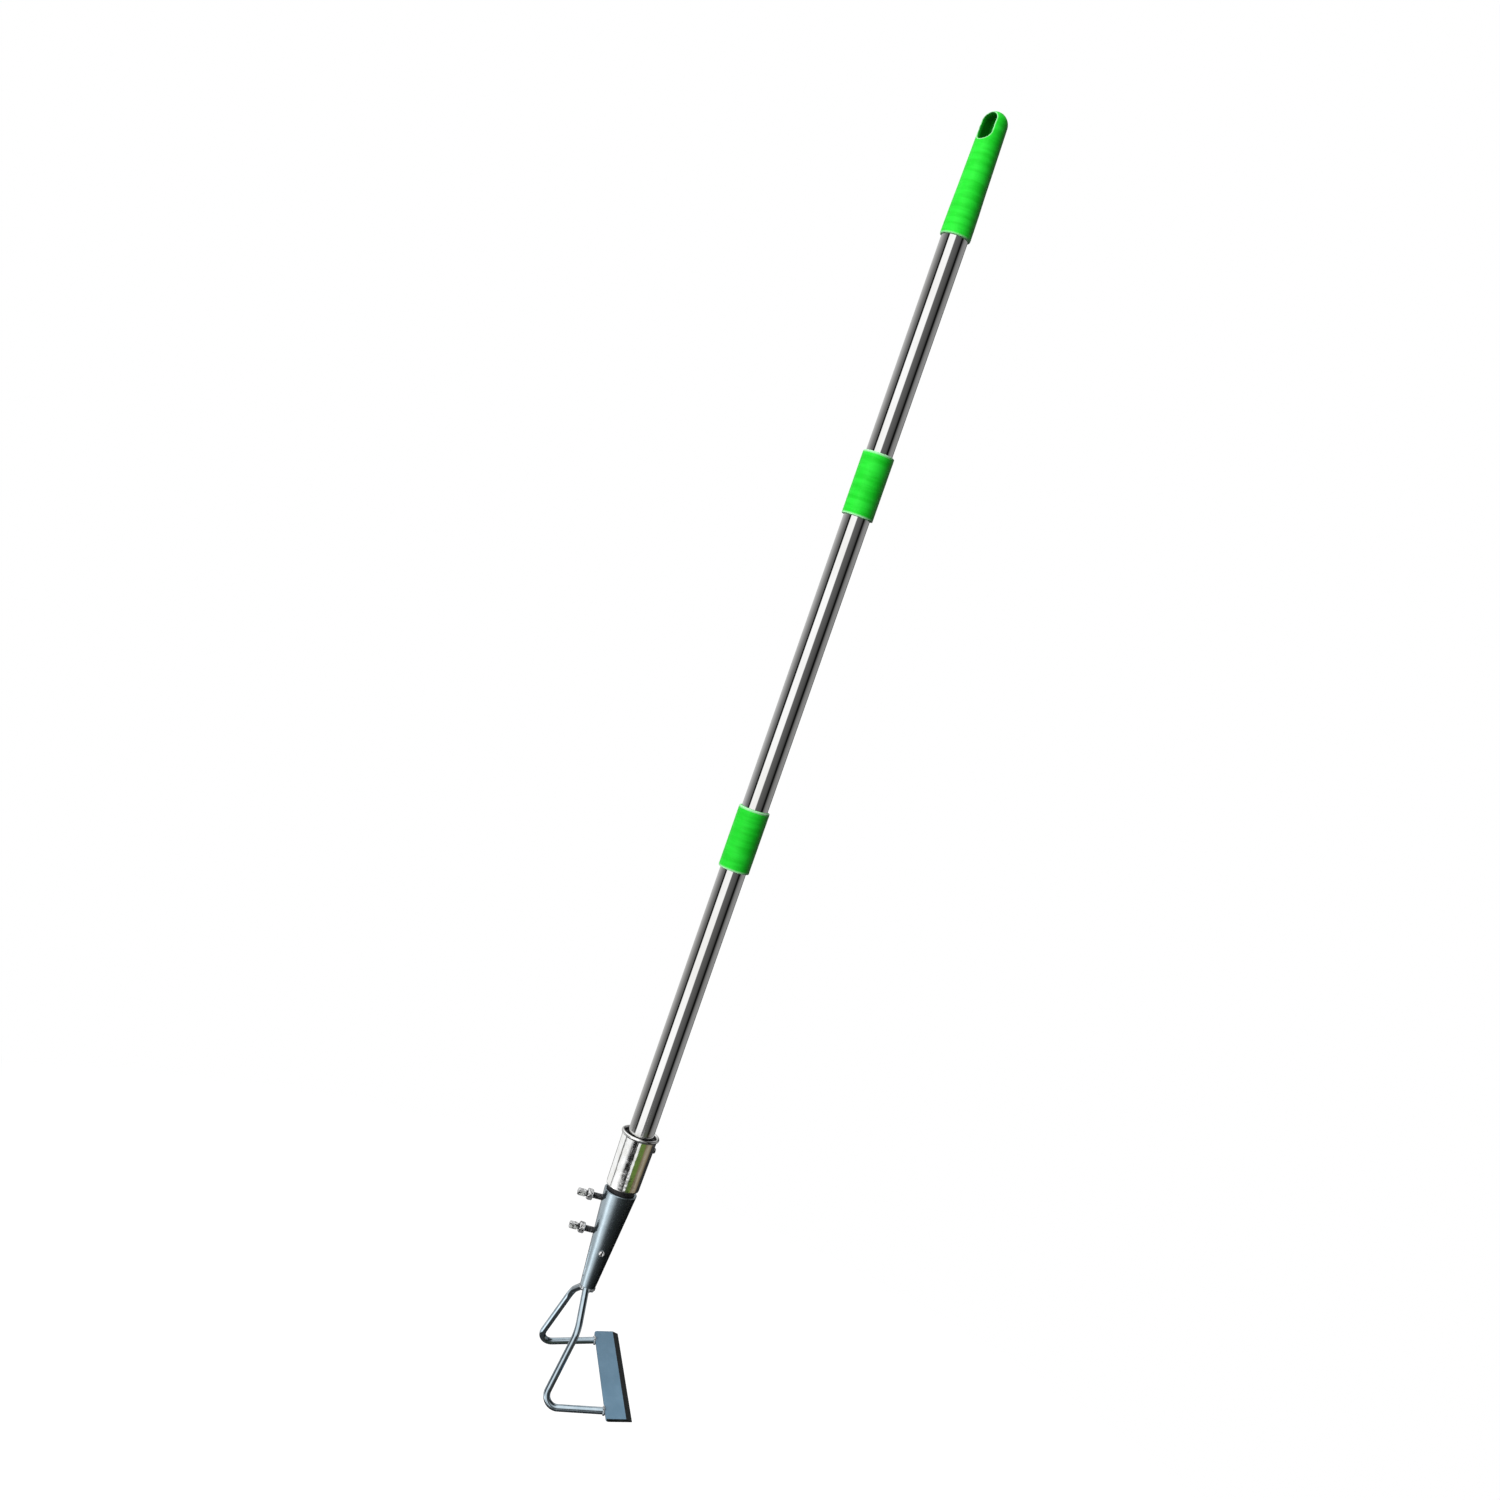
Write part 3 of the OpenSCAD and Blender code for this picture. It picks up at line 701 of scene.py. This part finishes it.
stub_low, plug_low_r, plug_top_r = SOCKET_TOP - STUB_LEN, 15.0, 15.8
plug_ring = [
    (0, stub_low), (STUB_LOW_R, stub_low), (STUB_TOP_R, SOCKET_TOP),
    (STUB_TOP_R, FERRULE_LOW - 0.6), (plug_low_r - 0.6, FERRULE_LOW), (plug_low_r, FERRULE_LOW),
    (plug_top_r, CUP_TOP), (CUP_R, CUP_TOP), (CUP_R, CUP_FLOOR), (0, CUP_FLOOR),
]
plug_radii = [0, 1.0, 0.2, 0.5, 0.3, 0.1, 0.6, 0.6, 0.2, 0]
plug = build("plug_body", lathe(fillet(plug_ring, plug_radii, 4), 96), BLACK)
fit(plug, "bottom_section", "black_plastic", "pole_plug")


def slotted_screw(name, azimuth, seat_r, z, shank, body, node):
    """A screw with a round head, whose slot is black inside as painted shade."""
    corner_r, corner_z, top_z = 1.2, 0.6, 2.0
    slot_half, slot_floor, reach, above = 0.45, 1.0, 4, 3.0
    outline = [(0, -shank), (SCREW_R, -shank), (SCREW_R, 0), (SCREW_HEAD_R, 0)]
    outline += arc(SCREW_HEAD_R - corner_r, corner_z, corner_r, 0, 90, 6) + [(0, top_z)]
    made = build(name, lathe(outline, 48), SCREW)
    slot = ((-reach, -slot_half), (reach, -slot_half), (reach, slot_half), (-reach, slot_half))
    box = [[(x, y, h) for x, y in slot] for h in (slot_floor, above)]
    cut(made, build("slot_cutter", grid(box), SCREW))
    # Painted shade: the slot's floor and walls take the black plastic.
    made.data.materials.append(BLACK)
    for face in made.data.polygons:
        x, y, h = face.center / MM
        inside = abs(x) < SCREW_HEAD_R and abs(y) < slot_half + 0.01
        if inside and slot_floor - 0.05 < h < top_z - 0.05:
            face.material_index = 1
    made.data.transform(outward(azimuth, seat_r, z))
    smooth(made)
    fit(made, body, "zinc_plate", node)


seat_r, shank = 16.86, 3.6
slotted_screw(
    "ferrule_screw_head", 0, seat_r, FERRULE_SCREW_Z, shank, "bottom_section", "ferrule_screw"
)
seat_r, shank = socket_r(SOCKET_SCREW_Z + SCREW_HEAD_R) + RUN_GAP, 7.0
slotted_screw("socket_screw_head", -90, seat_r, SOCKET_SCREW_Z, shank, "head", "socket_screw")

# ---------------------------------------------------------------- socket


def make_socket():
    outline = [
        (TIP_R, TIP), (SOCKET_TOP_R, SOCKET_TOP), (SOCKET_BORE_R, SOCKET_TOP),
        (SOCKET_FLOOR_R, SOCKET_FLOOR), (0, SOCKET_FLOOR), (0, TIP),
    ]
    radii = [1.2, 0.7, 0.7, 1, 0, 0]
    made = build("socket_cone", lathe(fillet(outline, radii, 5), 128), PAINT)
    hole_r, hole_in, hole_out = BOLT_R + RUN_GAP, 4, 24
    for z in BOLT_Z.values():
        hole = lathe([(0, hole_in), (hole_r, hole_in), (hole_r, hole_out), (0, hole_out)], 48)
        cut(made, build("hole_cutter", hole, PAINT, outward(180, 0, z)))
    smooth(made)
    return made


fit(make_socket(), "head", "grey_paint", "socket")


def seam(name, azimuth, z0, z1, width, height, steps=60, columns=8):
    """The sheet's welded seam: a low lumpy ridge down the cone, sunk a little into it."""
    sink, root_depth = 0.3, 1.2
    rows = []
    for k in range(steps + 1):
        z = z0 + (z1 - z0) * k / steps
        r = socket_r(z)
        end = min(1.0, 4.0 * k / steps, 4.0 * (steps - k) / steps)
        over, under = [], []
        for i in range(columns + 1):
            t = i / columns
            crown = math.sin(math.pi * t)
            across = (t - 0.5) * width * (0.6 + 0.4 * end)
            lump = noise.noise(Vector((across * 0.5, z * 0.45, 3.0))) * 0.30
            up = crown ** 0.7 * (height + lump * height * 2) * end
            top_r, low_r = r - sink + up + sink * crown, r - root_depth
            a = math.radians(azimuth) + across / r
            over.append((top_r * math.cos(a), top_r * math.sin(a), z))
            a = math.radians(azimuth) + (t - 0.5) * width * 0.7 / r
            under.append((low_r * math.cos(a), low_r * math.sin(a), z))
        rows.append(over + under[::-1])
    fit(build(name, grid(rows), PAINT, sharp=50), "head", "grey_paint")


seam("socket_seam", 196, TIP + 3, SOCKET_TOP - 52, 3.4, 0.55)

# ---------------------------------------------------------------- clamp bolts


def prism_rows(af, sides, profile, columns):
    """Rings of a prism with flats af apart.

    Its corners are turned down: profile gives heights and the greatest radius at each.
    """
    rows = []
    step = 2 * math.pi / sides
    for z, limit in profile:
        row = []
        for i in range(columns):
            a = 2 * math.pi * i / columns
            r = min(af / 2 / math.cos((a + step / 2) % step - step / 2), limit)
            row.append((r * math.cos(a), r * math.sin(a), z))
        rows.append(row)
    return rows


def lock_nut(which):
    z = BOLT_Z[which]
    profile = [(0, 4.85), (0.5, 5.4), (0.8, 5.9), (4.2, 5.9), (4.5, 5.4), (NUT_T, 4.85)]
    bore_r, flare, columns = BOLT_R + RUN_GAP, 0.4, 96
    mouth_r = bore_r + flare
    bore = ((mouth_r, NUT_T), (bore_r, NUT_T - flare), (bore_r, flare), (mouth_r, 0))
    rows = prism_rows(NUT_AF, 6, profile, columns) + [circle(r, h, columns) for r, h in bore]
    turn = Matrix.Rotation(math.radians(15), 4, "Z")
    place = outward(180, socket_r(z) + NUT_OFF, z) @ turn
    made = build(f"{which}_nut_body", loop(rows), ZINC, place, sharp=24)
    fit(made, f"{which}_lock_nut", "zinc_plate", f"{which}_lock_nut")


def clamp_bolt(which):
    z = BOLT_Z[which]
    tip_r = STUB_TOP_R + SOCKET_TAPER * (z + BOLT_R - SOCKET_TOP) + RUN_GAP
    head_r = socket_r(z) + NUT_OFF + NUT_T + HEAD_OFF
    thread_depth, gap, dog_share = 0.42, 0.2, 0.72
    rows = threaded(BOLT_R, BOLT_PITCH, thread_depth, tip_r, head_r - gap, 40, 8, 0.12)
    rows.insert(0, [(x * dog_share, y * dog_share, h) for x, y, h in rows[0]])
    shank = build(f"{which}_bolt_thread", grid(rows), THREAD, outward(180, 0, z), sharp=50)
    profile = [(0, 2.7), (0.4, 3.1), (0.8, 3.75), (7.0, 3.75), (7.6, 3.2), (HEAD_H, 2.5)]
    rows = prism_rows(HEAD_AF, 4, profile, 80)
    head = build(f"{which}_bolt_head", grid(rows), ZINC, outward(180, head_r, z), sharp=24)
    for made in (shank, head):
        fit(made, f"{which}_clamp_bolt", "zinc_plate", f"{which}_clamp_bolt")


for which in ("upper", "lower"):
    lock_nut(which)
    clamp_bolt(which)

# ---------------------------------------------------------------- frame and blade


def rounded_path(corners, radii, steps):
    """Points along a path whose inner corners are rounded."""
    path = [corners[0]]
    for before, here, after, radius in zip(corners, corners[1:], corners[2:], radii):
        a, b = (before - here).normalized(), (after - here).normalized()
        path += rounding(here, a, b, radius, steps)
    return path + [corners[-1]]


def sweep(path, radius, sides):
    """Rings of a round rod along a path, without twist."""
    turns = [2 * math.pi * k / sides for k in range(sides)]
    rows = []
    across = None
    for i, point in enumerate(path):
        ahead = path[min(i + 1, len(path) - 1)] - path[max(i - 1, 0)]
        ahead.normalize()
        if across is None:
            across = ahead.cross(Vector((0, 1, 0))).normalized()
        across = (across - ahead * across.dot(ahead)).normalized()
        up = ahead.cross(across)
        arms = [across * math.cos(a) + up * math.sin(a) for a in turns]
        rows.append([tuple(point + arm * radius) for arm in arms])
    return rows


def scaled(row, centre, scales):
    """A ring whose points are moved away from centre, each by its own scale."""
    return [tuple(centre + (Vector(p) - centre) * scale) for p, scale in zip(row, scales)]


def bead(name, centre, axis, ring_r, bead_r, seed, node, steps=40, sides=14):
    """A lumpy weld bead round an axis, whose thickness rises and falls along it."""
    ripple, lump_share, lump_size = 0.16, 0.35, 1.1
    shift = Vector((seed, 0, 0))
    axis = axis.normalized()
    u = axis.orthogonal().normalized()
    v = axis.cross(u)
    turns = [math.radians(k / steps * 360) for k in range(steps + 1)]
    path = [centre + (u * math.cos(a) + v * math.sin(a)) * ring_r for a in turns]
    rows = []
    for k, row in enumerate(sweep(path, bead_r, sides)):
        row = scaled(row, path[k], [1 + ripple * math.sin(k * 1.9 + seed)] * sides)
        middle = sum((Vector(p) for p in row), Vector()) / sides
        lumps = [noise.noise(Vector(p) / lump_size + shift) for p in row]
        rows.append(scaled(row, middle, [1 + lump_share * lump for lump in lumps]))
    made = build(name, grid(rows), WELD, FROM_TIP, sharp=70)
    fit(made, "head", "grey_paint", node)


FROM_TIP = Matrix.Translation((0, 0, TIP * MM))
FLIPS = {"left": Vector((1, 1, 1)), "right": Vector((1, -1, 1))}
root_dir, sole_dir = (SHOULDER - ROOT).normalized(), (TOE - HEEL).normalized()
corners = [ROOT - root_dir * ROOT_IN, SHOULDER, HEEL, TOE + sole_dir * TOE_IN]
for side, flip in FLIPS.items():
    path = [p * flip for p in rounded_path(corners, (SHOULDER_R, HEEL_R), 14)]
    made = build(f"{side}_rod", grid(sweep(path, ROD_D / 2, 36)), ROD, FROM_TIP, sharp=50)
    fit(made, "head", "grey_paint", f"{side}_arm")

bead("tip_bead", Vector((0, 0, -0.9)), Vector((0, 0, 1)), 6.0, 2.1, 1.7, "arm_weld")
for side, flip in FLIPS.items():
    centre = (TOE - sole_dir * 0.9) * flip
    bead(f"{side}_toe_bead", centre, sole_dir * flip, 3.3, 1.1, 4.0 + flip.y, "blade_welds")


def make_blade():
    """The blade, built flat with its back edge at x = 0, then set on the rods' soles."""
    half, low, high = BLADE_LEN / 2, -BLADE_T / 2, BLADE_T / 2
    outline = [(BLADE_W, -half), (BLADE_W, half)]
    outline += arc(BLADE_CORNER, half - BLADE_CORNER, BLADE_CORNER, 90, 180, 9)
    outline += arc(BLADE_CORNER, BLADE_CORNER - half, BLADE_CORNER, 180, 270, 9)
    shape = grid([[(x, y, h) for x, y in outline] for h in (low, high)])
    made = build("blade_plate", shape, SLATE)

    start, past, over, reach = BLADE_W - BEVEL_W, BLADE_W + 2, 5, 90
    drop = (BLADE_T - EDGE_T) * (past - start) / BEVEL_W
    wedge = [(start, high), (past, high - drop), (past, over), (start, over)]
    rows = [[(x, y, z) for x, z in wedge] for y in (-reach, reach)]
    cut(made, build("wedge_cutter", grid(rows), SLATE))
    round_w, limit = 0.35 * MM, math.radians(12)
    apply(made, "BEVEL", width=round_w, segments=3, limit_method="ANGLE", angle_limit=limit)

    # Painted shade: the ground bevel, the front edge and both end faces take the near-black
    # material.
    made.data.materials.append(BEVEL)
    lean = math.sin(math.atan2(BLADE_T - EDGE_T, BEVEL_W))
    for face in made.data.polygons:
        x, normal = face.center.x, face.normal
        ground = x > (start - 0.1) * MM and normal.z > 0.5 and normal.x > 0.5 * lean
        edge = x > (BLADE_W - 0.3) * MM and normal.x > 0.4
        end = abs(normal.y) > 0.6
        if ground or edge or end:
            face.material_index = 1
    tilt = Matrix.Rotation(-SOLE_TILT, 4, "Y")
    made.data.transform(Matrix.Translation((TOE.x * MM, 0, (TOE.z + TIP) * MM)) @ tilt)
    smooth(made, 30)
    return made


fit(make_blade(), "head", "grey_paint", "blade")

# ---------------------------------------------------------------- stage, light and camera

CAMERA_AZ, CAMERA_EL, CAMERA_ROLL = -101.9, 4.4, 19.25
# From the socket's tip, along the view's right, up and back, in mm.
CAMERA_RIGHT, CAMERA_UP, CAMERA_BACK = 154.0, 508.0, 1422.0
# The key light, in metres: its azimuth is counted from the camera's, and it faces the pole.
KEY_AZ, KEY_EL, KEY_DISTANCE = -37.0, 24.0, 2.0
KEY_W, KEY_H, KEY_RADIANCE = 1.3, 2.2, 4.9
KEY_AIM = Vector((0, 0, -0.55))
# Two soft glows of the sky: azimuth from the camera's, elevation, where each starts (the
# cosine of the angle from its middle) and how bright it is.
SIDE_GLOW, REAR_GLOW = (-60, 32, -0.1, 0.36), (178, 15, 0.30, 0.62)
GLOW_FULL, SKY, GROUND = 0.95, 0.005, 0.03
TO_GROUND = (-0.15, -0.8)  # slopes between which the sky fades into the ground
# The floor, in mm: its level, its rings, and the distances from the eye where it fades out.
FLOOR_Z, FLOOR_RINGS, FLOOR_FADE = -1480.0, (30, 200, 600, 1300), (1640.0, 1940.0)
FLOOR_GLOW = 0.84  # with the light that falls on it, this makes the floor white


def stand(made, x, y, z, spot):
    """Puts a camera or lamp at spot, with its own axes along x, y and z."""
    bpy.context.scene.collection.objects.link(made)
    rows = [(x[i], y[i], z[i], spot[i]) for i in range(3)]
    made.matrix_world = Matrix((*rows, (0, 0, 0, 1)))


def make_camera():
    back, right = direction(CAMERA_AZ, CAMERA_EL), direction(CAMERA_AZ + 90, 0)
    up = back.cross(right)
    roll = math.radians(CAMERA_ROLL)
    x = right * math.cos(roll) + up * math.sin(roll)
    y = up * math.cos(roll) - right * math.sin(roll)
    spot = x * CAMERA_RIGHT + y * CAMERA_UP + back * CAMERA_BACK + Vector((0, 0, TIP))
    data = bpy.data.cameras.new("camera")
    data.sensor_width = 36.0
    data.lens = 36.0
    camera = bpy.data.objects.new("camera", data)
    stand(camera, x, y, back, spot * MM)
    bpy.context.scene.camera = camera


def make_key():
    """A large area light, up to the camera's left, that gloss doesn't show."""
    z = direction(CAMERA_AZ + KEY_AZ, KEY_EL)
    x = Vector((0, 0, 1)).cross(z).normalized()
    data = bpy.data.lights.new("key", "AREA")
    data.shape = "RECTANGLE"
    data.size, data.size_y = KEY_W, KEY_H
    data.energy = KEY_RADIANCE * math.pi * KEY_W * KEY_H
    lamp = bpy.data.objects.new("key", data)
    stand(lamp, x, z.cross(x), z, KEY_AIM + z * KEY_DISTANCE)
    lamp.visible_camera = False
    lamp.visible_glossy = False


make_camera()
make_key()

# What the gloss reflects: the angle from the camera's side in degrees, plus to its right, and
# how bright or what colour the studio is there. The tubes, the ferrule and the head each
# reflect a zone of their own, because their gloss looks down at a different slope. What
# looks up reflects the high zone.
POLE_ZONE = [
    (-180, 0.45), (-150, 0.65), (-128, 0.54), (-110, 0.42), (-86, 0.23), (-73, 0.17),
    (-66, 0.10), (-63, 0.01), (-52, 0.01), (-49, 1.30), (1, 1.30), (5, 0.17), (47, 0.10),
    (56, 0.05), (60, 0.005), (70, 0.005), (75, 0.05), (83, 0.19), (97, 0.29), (137, 0.36),
    (150, 0.10), (172, 0.05), (180, 0.45),
]
OLIVE, TAN, BROWN = (0.14, 0.23, 0.05), (0.44, 0.39, 0.29), (0.22, 0.17, 0.10)
FERRULE_ZONE = [
    (-180, 0.30), (-158, 0.20), (-148, 1.10), (-95, 1.15), (-90, 0.22), (-84, 0.22),
    (-79, 1.15), (-44, 1.10), (-32, 0.50), (-26, 0.02), (6, 0.01), (10, 1.15), (23, 1.10),
    (27, OLIVE), (55, OLIVE), (63, BROWN), (84, TAN), (104, BROWN), (116, 0.03), (160, 0.02),
    (180, 0.30),
]
HEAD_ZONE = [
    (-180, 0.12), (-156, 0.12), (-140, 0.62), (-118, 0.90), (-88, 0.95), (-72, 1.45),
    (-62, 2.40), (-53, 2.35), (-42, 1.60), (-28, 1.15), (-14, 0.58), (2, 0.16), (18, 0.05),
    (44, 0.015), (95, 0.005), (160, 0.01), (180, 0.12),
]
HIGH_ZONE = [
    (-180, 0.80), (-160, 0.90), (-140, 1.15), (-110, 1.35), (-60, 1.50), (-8, 1.42),
    (18, 1.05), (38, 0.40), (60, 0.06), (120, 0.02), (150, 0.25), (180, 0.80),
]
# Slopes of the reflected direction between which one zone fades into the next.
TO_FERRULE, TO_HEAD = (-0.329, -0.338), (-0.400, -0.415)
TO_DARK, TO_HIGH = (-0.58, -0.72), (0.31, 0.50)
DARK_ZONE = (0.07, 0.07, 0.07)
RAMP_SCALE = 4.0  # a ramp's colours end at 1, so they are stored as this share


def make_world():
    """White to the camera, the zones to gloss, and soft glows over a dark ground to the rest."""
    world = bpy.data.worlds.new("studio")
    bpy.context.scene.world = world
    world.use_nodes = True
    n = Nodes(world.node_tree)
    out = n.add("ShaderNodeOutputWorld")
    where = n.add("ShaderNodeTexCoord").outputs["Generated"]
    way = n.add("ShaderNodeSeparateXYZ")
    n.join(where, way.inputs[0])
    height = way.outputs[2]
    angle = n.math("ARCTAN2", way.outputs[1], way.outputs[0])
    start = math.radians(CAMERA_AZ) + math.pi
    turn = n.math("DIVIDE", n.math("SUBTRACT", angle, start), 2 * math.pi)
    turn = n.math("FRACT", n.math("ADD", turn, 2.0))

    def zone(bands):
        ramp = n.add("ShaderNodeValToRGB")
        n.join(turn, ramp.inputs[0])
        stops = ramp.color_ramp.elements
        for k, (degrees, colour) in enumerate(bands):
            place = (degrees + 180) / 360
            stop = stops[k] if k < 2 else stops.new(place)
            stop.position = place
            colour = colour if isinstance(colour, tuple) else (colour,) * 3
            stop.color = (*(c / RAMP_SCALE for c in colour), 1)
        return n.blend(1.0, ramp.outputs[0], (RAMP_SCALE,) * 3, "MULTIPLY")

    glossy = n.blend(n.span(height, *TO_FERRULE), zone(POLE_ZONE), zone(FERRULE_ZONE))
    glossy = n.blend(n.span(height, *TO_HEAD), glossy, zone(HEAD_ZONE))
    glossy = n.blend(n.span(height, *TO_DARK), glossy, DARK_ZONE)
    glossy = n.blend(n.span(height, *TO_HIGH), glossy, zone(HIGH_ZONE))

    def glow(azimuth, elevation, start, peak):
        """A soft patch of sky, at an azimuth counted from the camera's."""
        toward = n.add("ShaderNodeVectorMath", operation="DOT_PRODUCT")
        n.join(where, toward.inputs[0])
        toward.inputs[1].default_value = direction(CAMERA_AZ + azimuth, elevation)
        return n.span(toward.outputs["Value"], start, GLOW_FULL, 0.0, peak)

    sky = n.math("ADD", n.math("ADD", glow(*SIDE_GLOW), glow(*REAR_GLOW)), SKY)
    soft = n.blend(n.span(height, *TO_GROUND), sky, (GROUND,) * 3)

    paths = n.add("ShaderNodeLightPath")
    lit = n.add("ShaderNodeBackground")
    n.join(n.blend(paths.outputs["Is Glossy Ray"], soft, glossy), lit.inputs[0])
    shown = n.add("ShaderNodeBackground")
    shown.inputs[0].default_value = (1, 1, 1, 1)
    mixed = n.add("ShaderNodeMixShader")
    n.join(paths.outputs["Is Camera Ray"], mixed.inputs[0])
    n.join(lit.outputs[0], mixed.inputs[1])
    n.join(shown.outputs[0], mixed.inputs[2])
    n.join(mixed.outputs[0], out.inputs[0])


make_world()


def make_floor():
    """A pale disc below the hanging tool, whose rim fades into the white of the world."""
    columns = 96
    rings = [circle(r, FLOOR_Z, columns) for r in FLOOR_RINGS]
    verts, faces = grid(rings, capped=False)
    faces.append(tuple(range(columns)))
    material = bpy.data.materials.new("pale_floor")
    material.use_nodes = True
    n = Nodes(material.node_tree)
    out = n.add("ShaderNodeOutputMaterial")
    diffuse = n.add("ShaderNodeBsdfDiffuse")
    reach = n.add("ShaderNodeVectorMath", operation="LENGTH")
    n.join(n.place(), reach.inputs[0])
    rim = n.span(reach.outputs["Value"], *FLOOR_FADE)
    grain = n.noise(n.place(), 40.0, 3.0)
    plain = n.blend(n.span(grain, 0.3, 0.7), (0.40, 0.40, 0.40), (0.44, 0.44, 0.44))
    n.feed(diffuse.inputs[0], n.blend(rim, plain, (0.0, 0.0, 0.0)))
    glow = n.add("ShaderNodeEmission")
    paths = n.add("ShaderNodeLightPath")
    seen = n.math("MAXIMUM", paths.outputs["Is Camera Ray"], paths.outputs["Is Glossy Ray"])
    n.join(n.math("MULTIPLY", seen, n.span(rim, 0.0, 1.0, FLOOR_GLOW, 1.0)), glow.inputs[1])
    both = n.add("ShaderNodeAddShader")
    n.join(diffuse.outputs[0], both.inputs[0])
    n.join(glow.outputs[0], both.inputs[1])
    n.join(both.outputs[0], out.inputs[0])
    made = build("floor", (verts, faces), material)
    made.visible_glossy = False
    made.visible_diffuse = False
    made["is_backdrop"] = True


make_floor()

settings = bpy.context.scene.view_settings
settings.view_transform = "Standard"

visual_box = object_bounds()
plain = lambda box: [[float(c) for c in corner] for corner in box]
{"cad": plain(cad_box), "visual": plain(visual_box)}
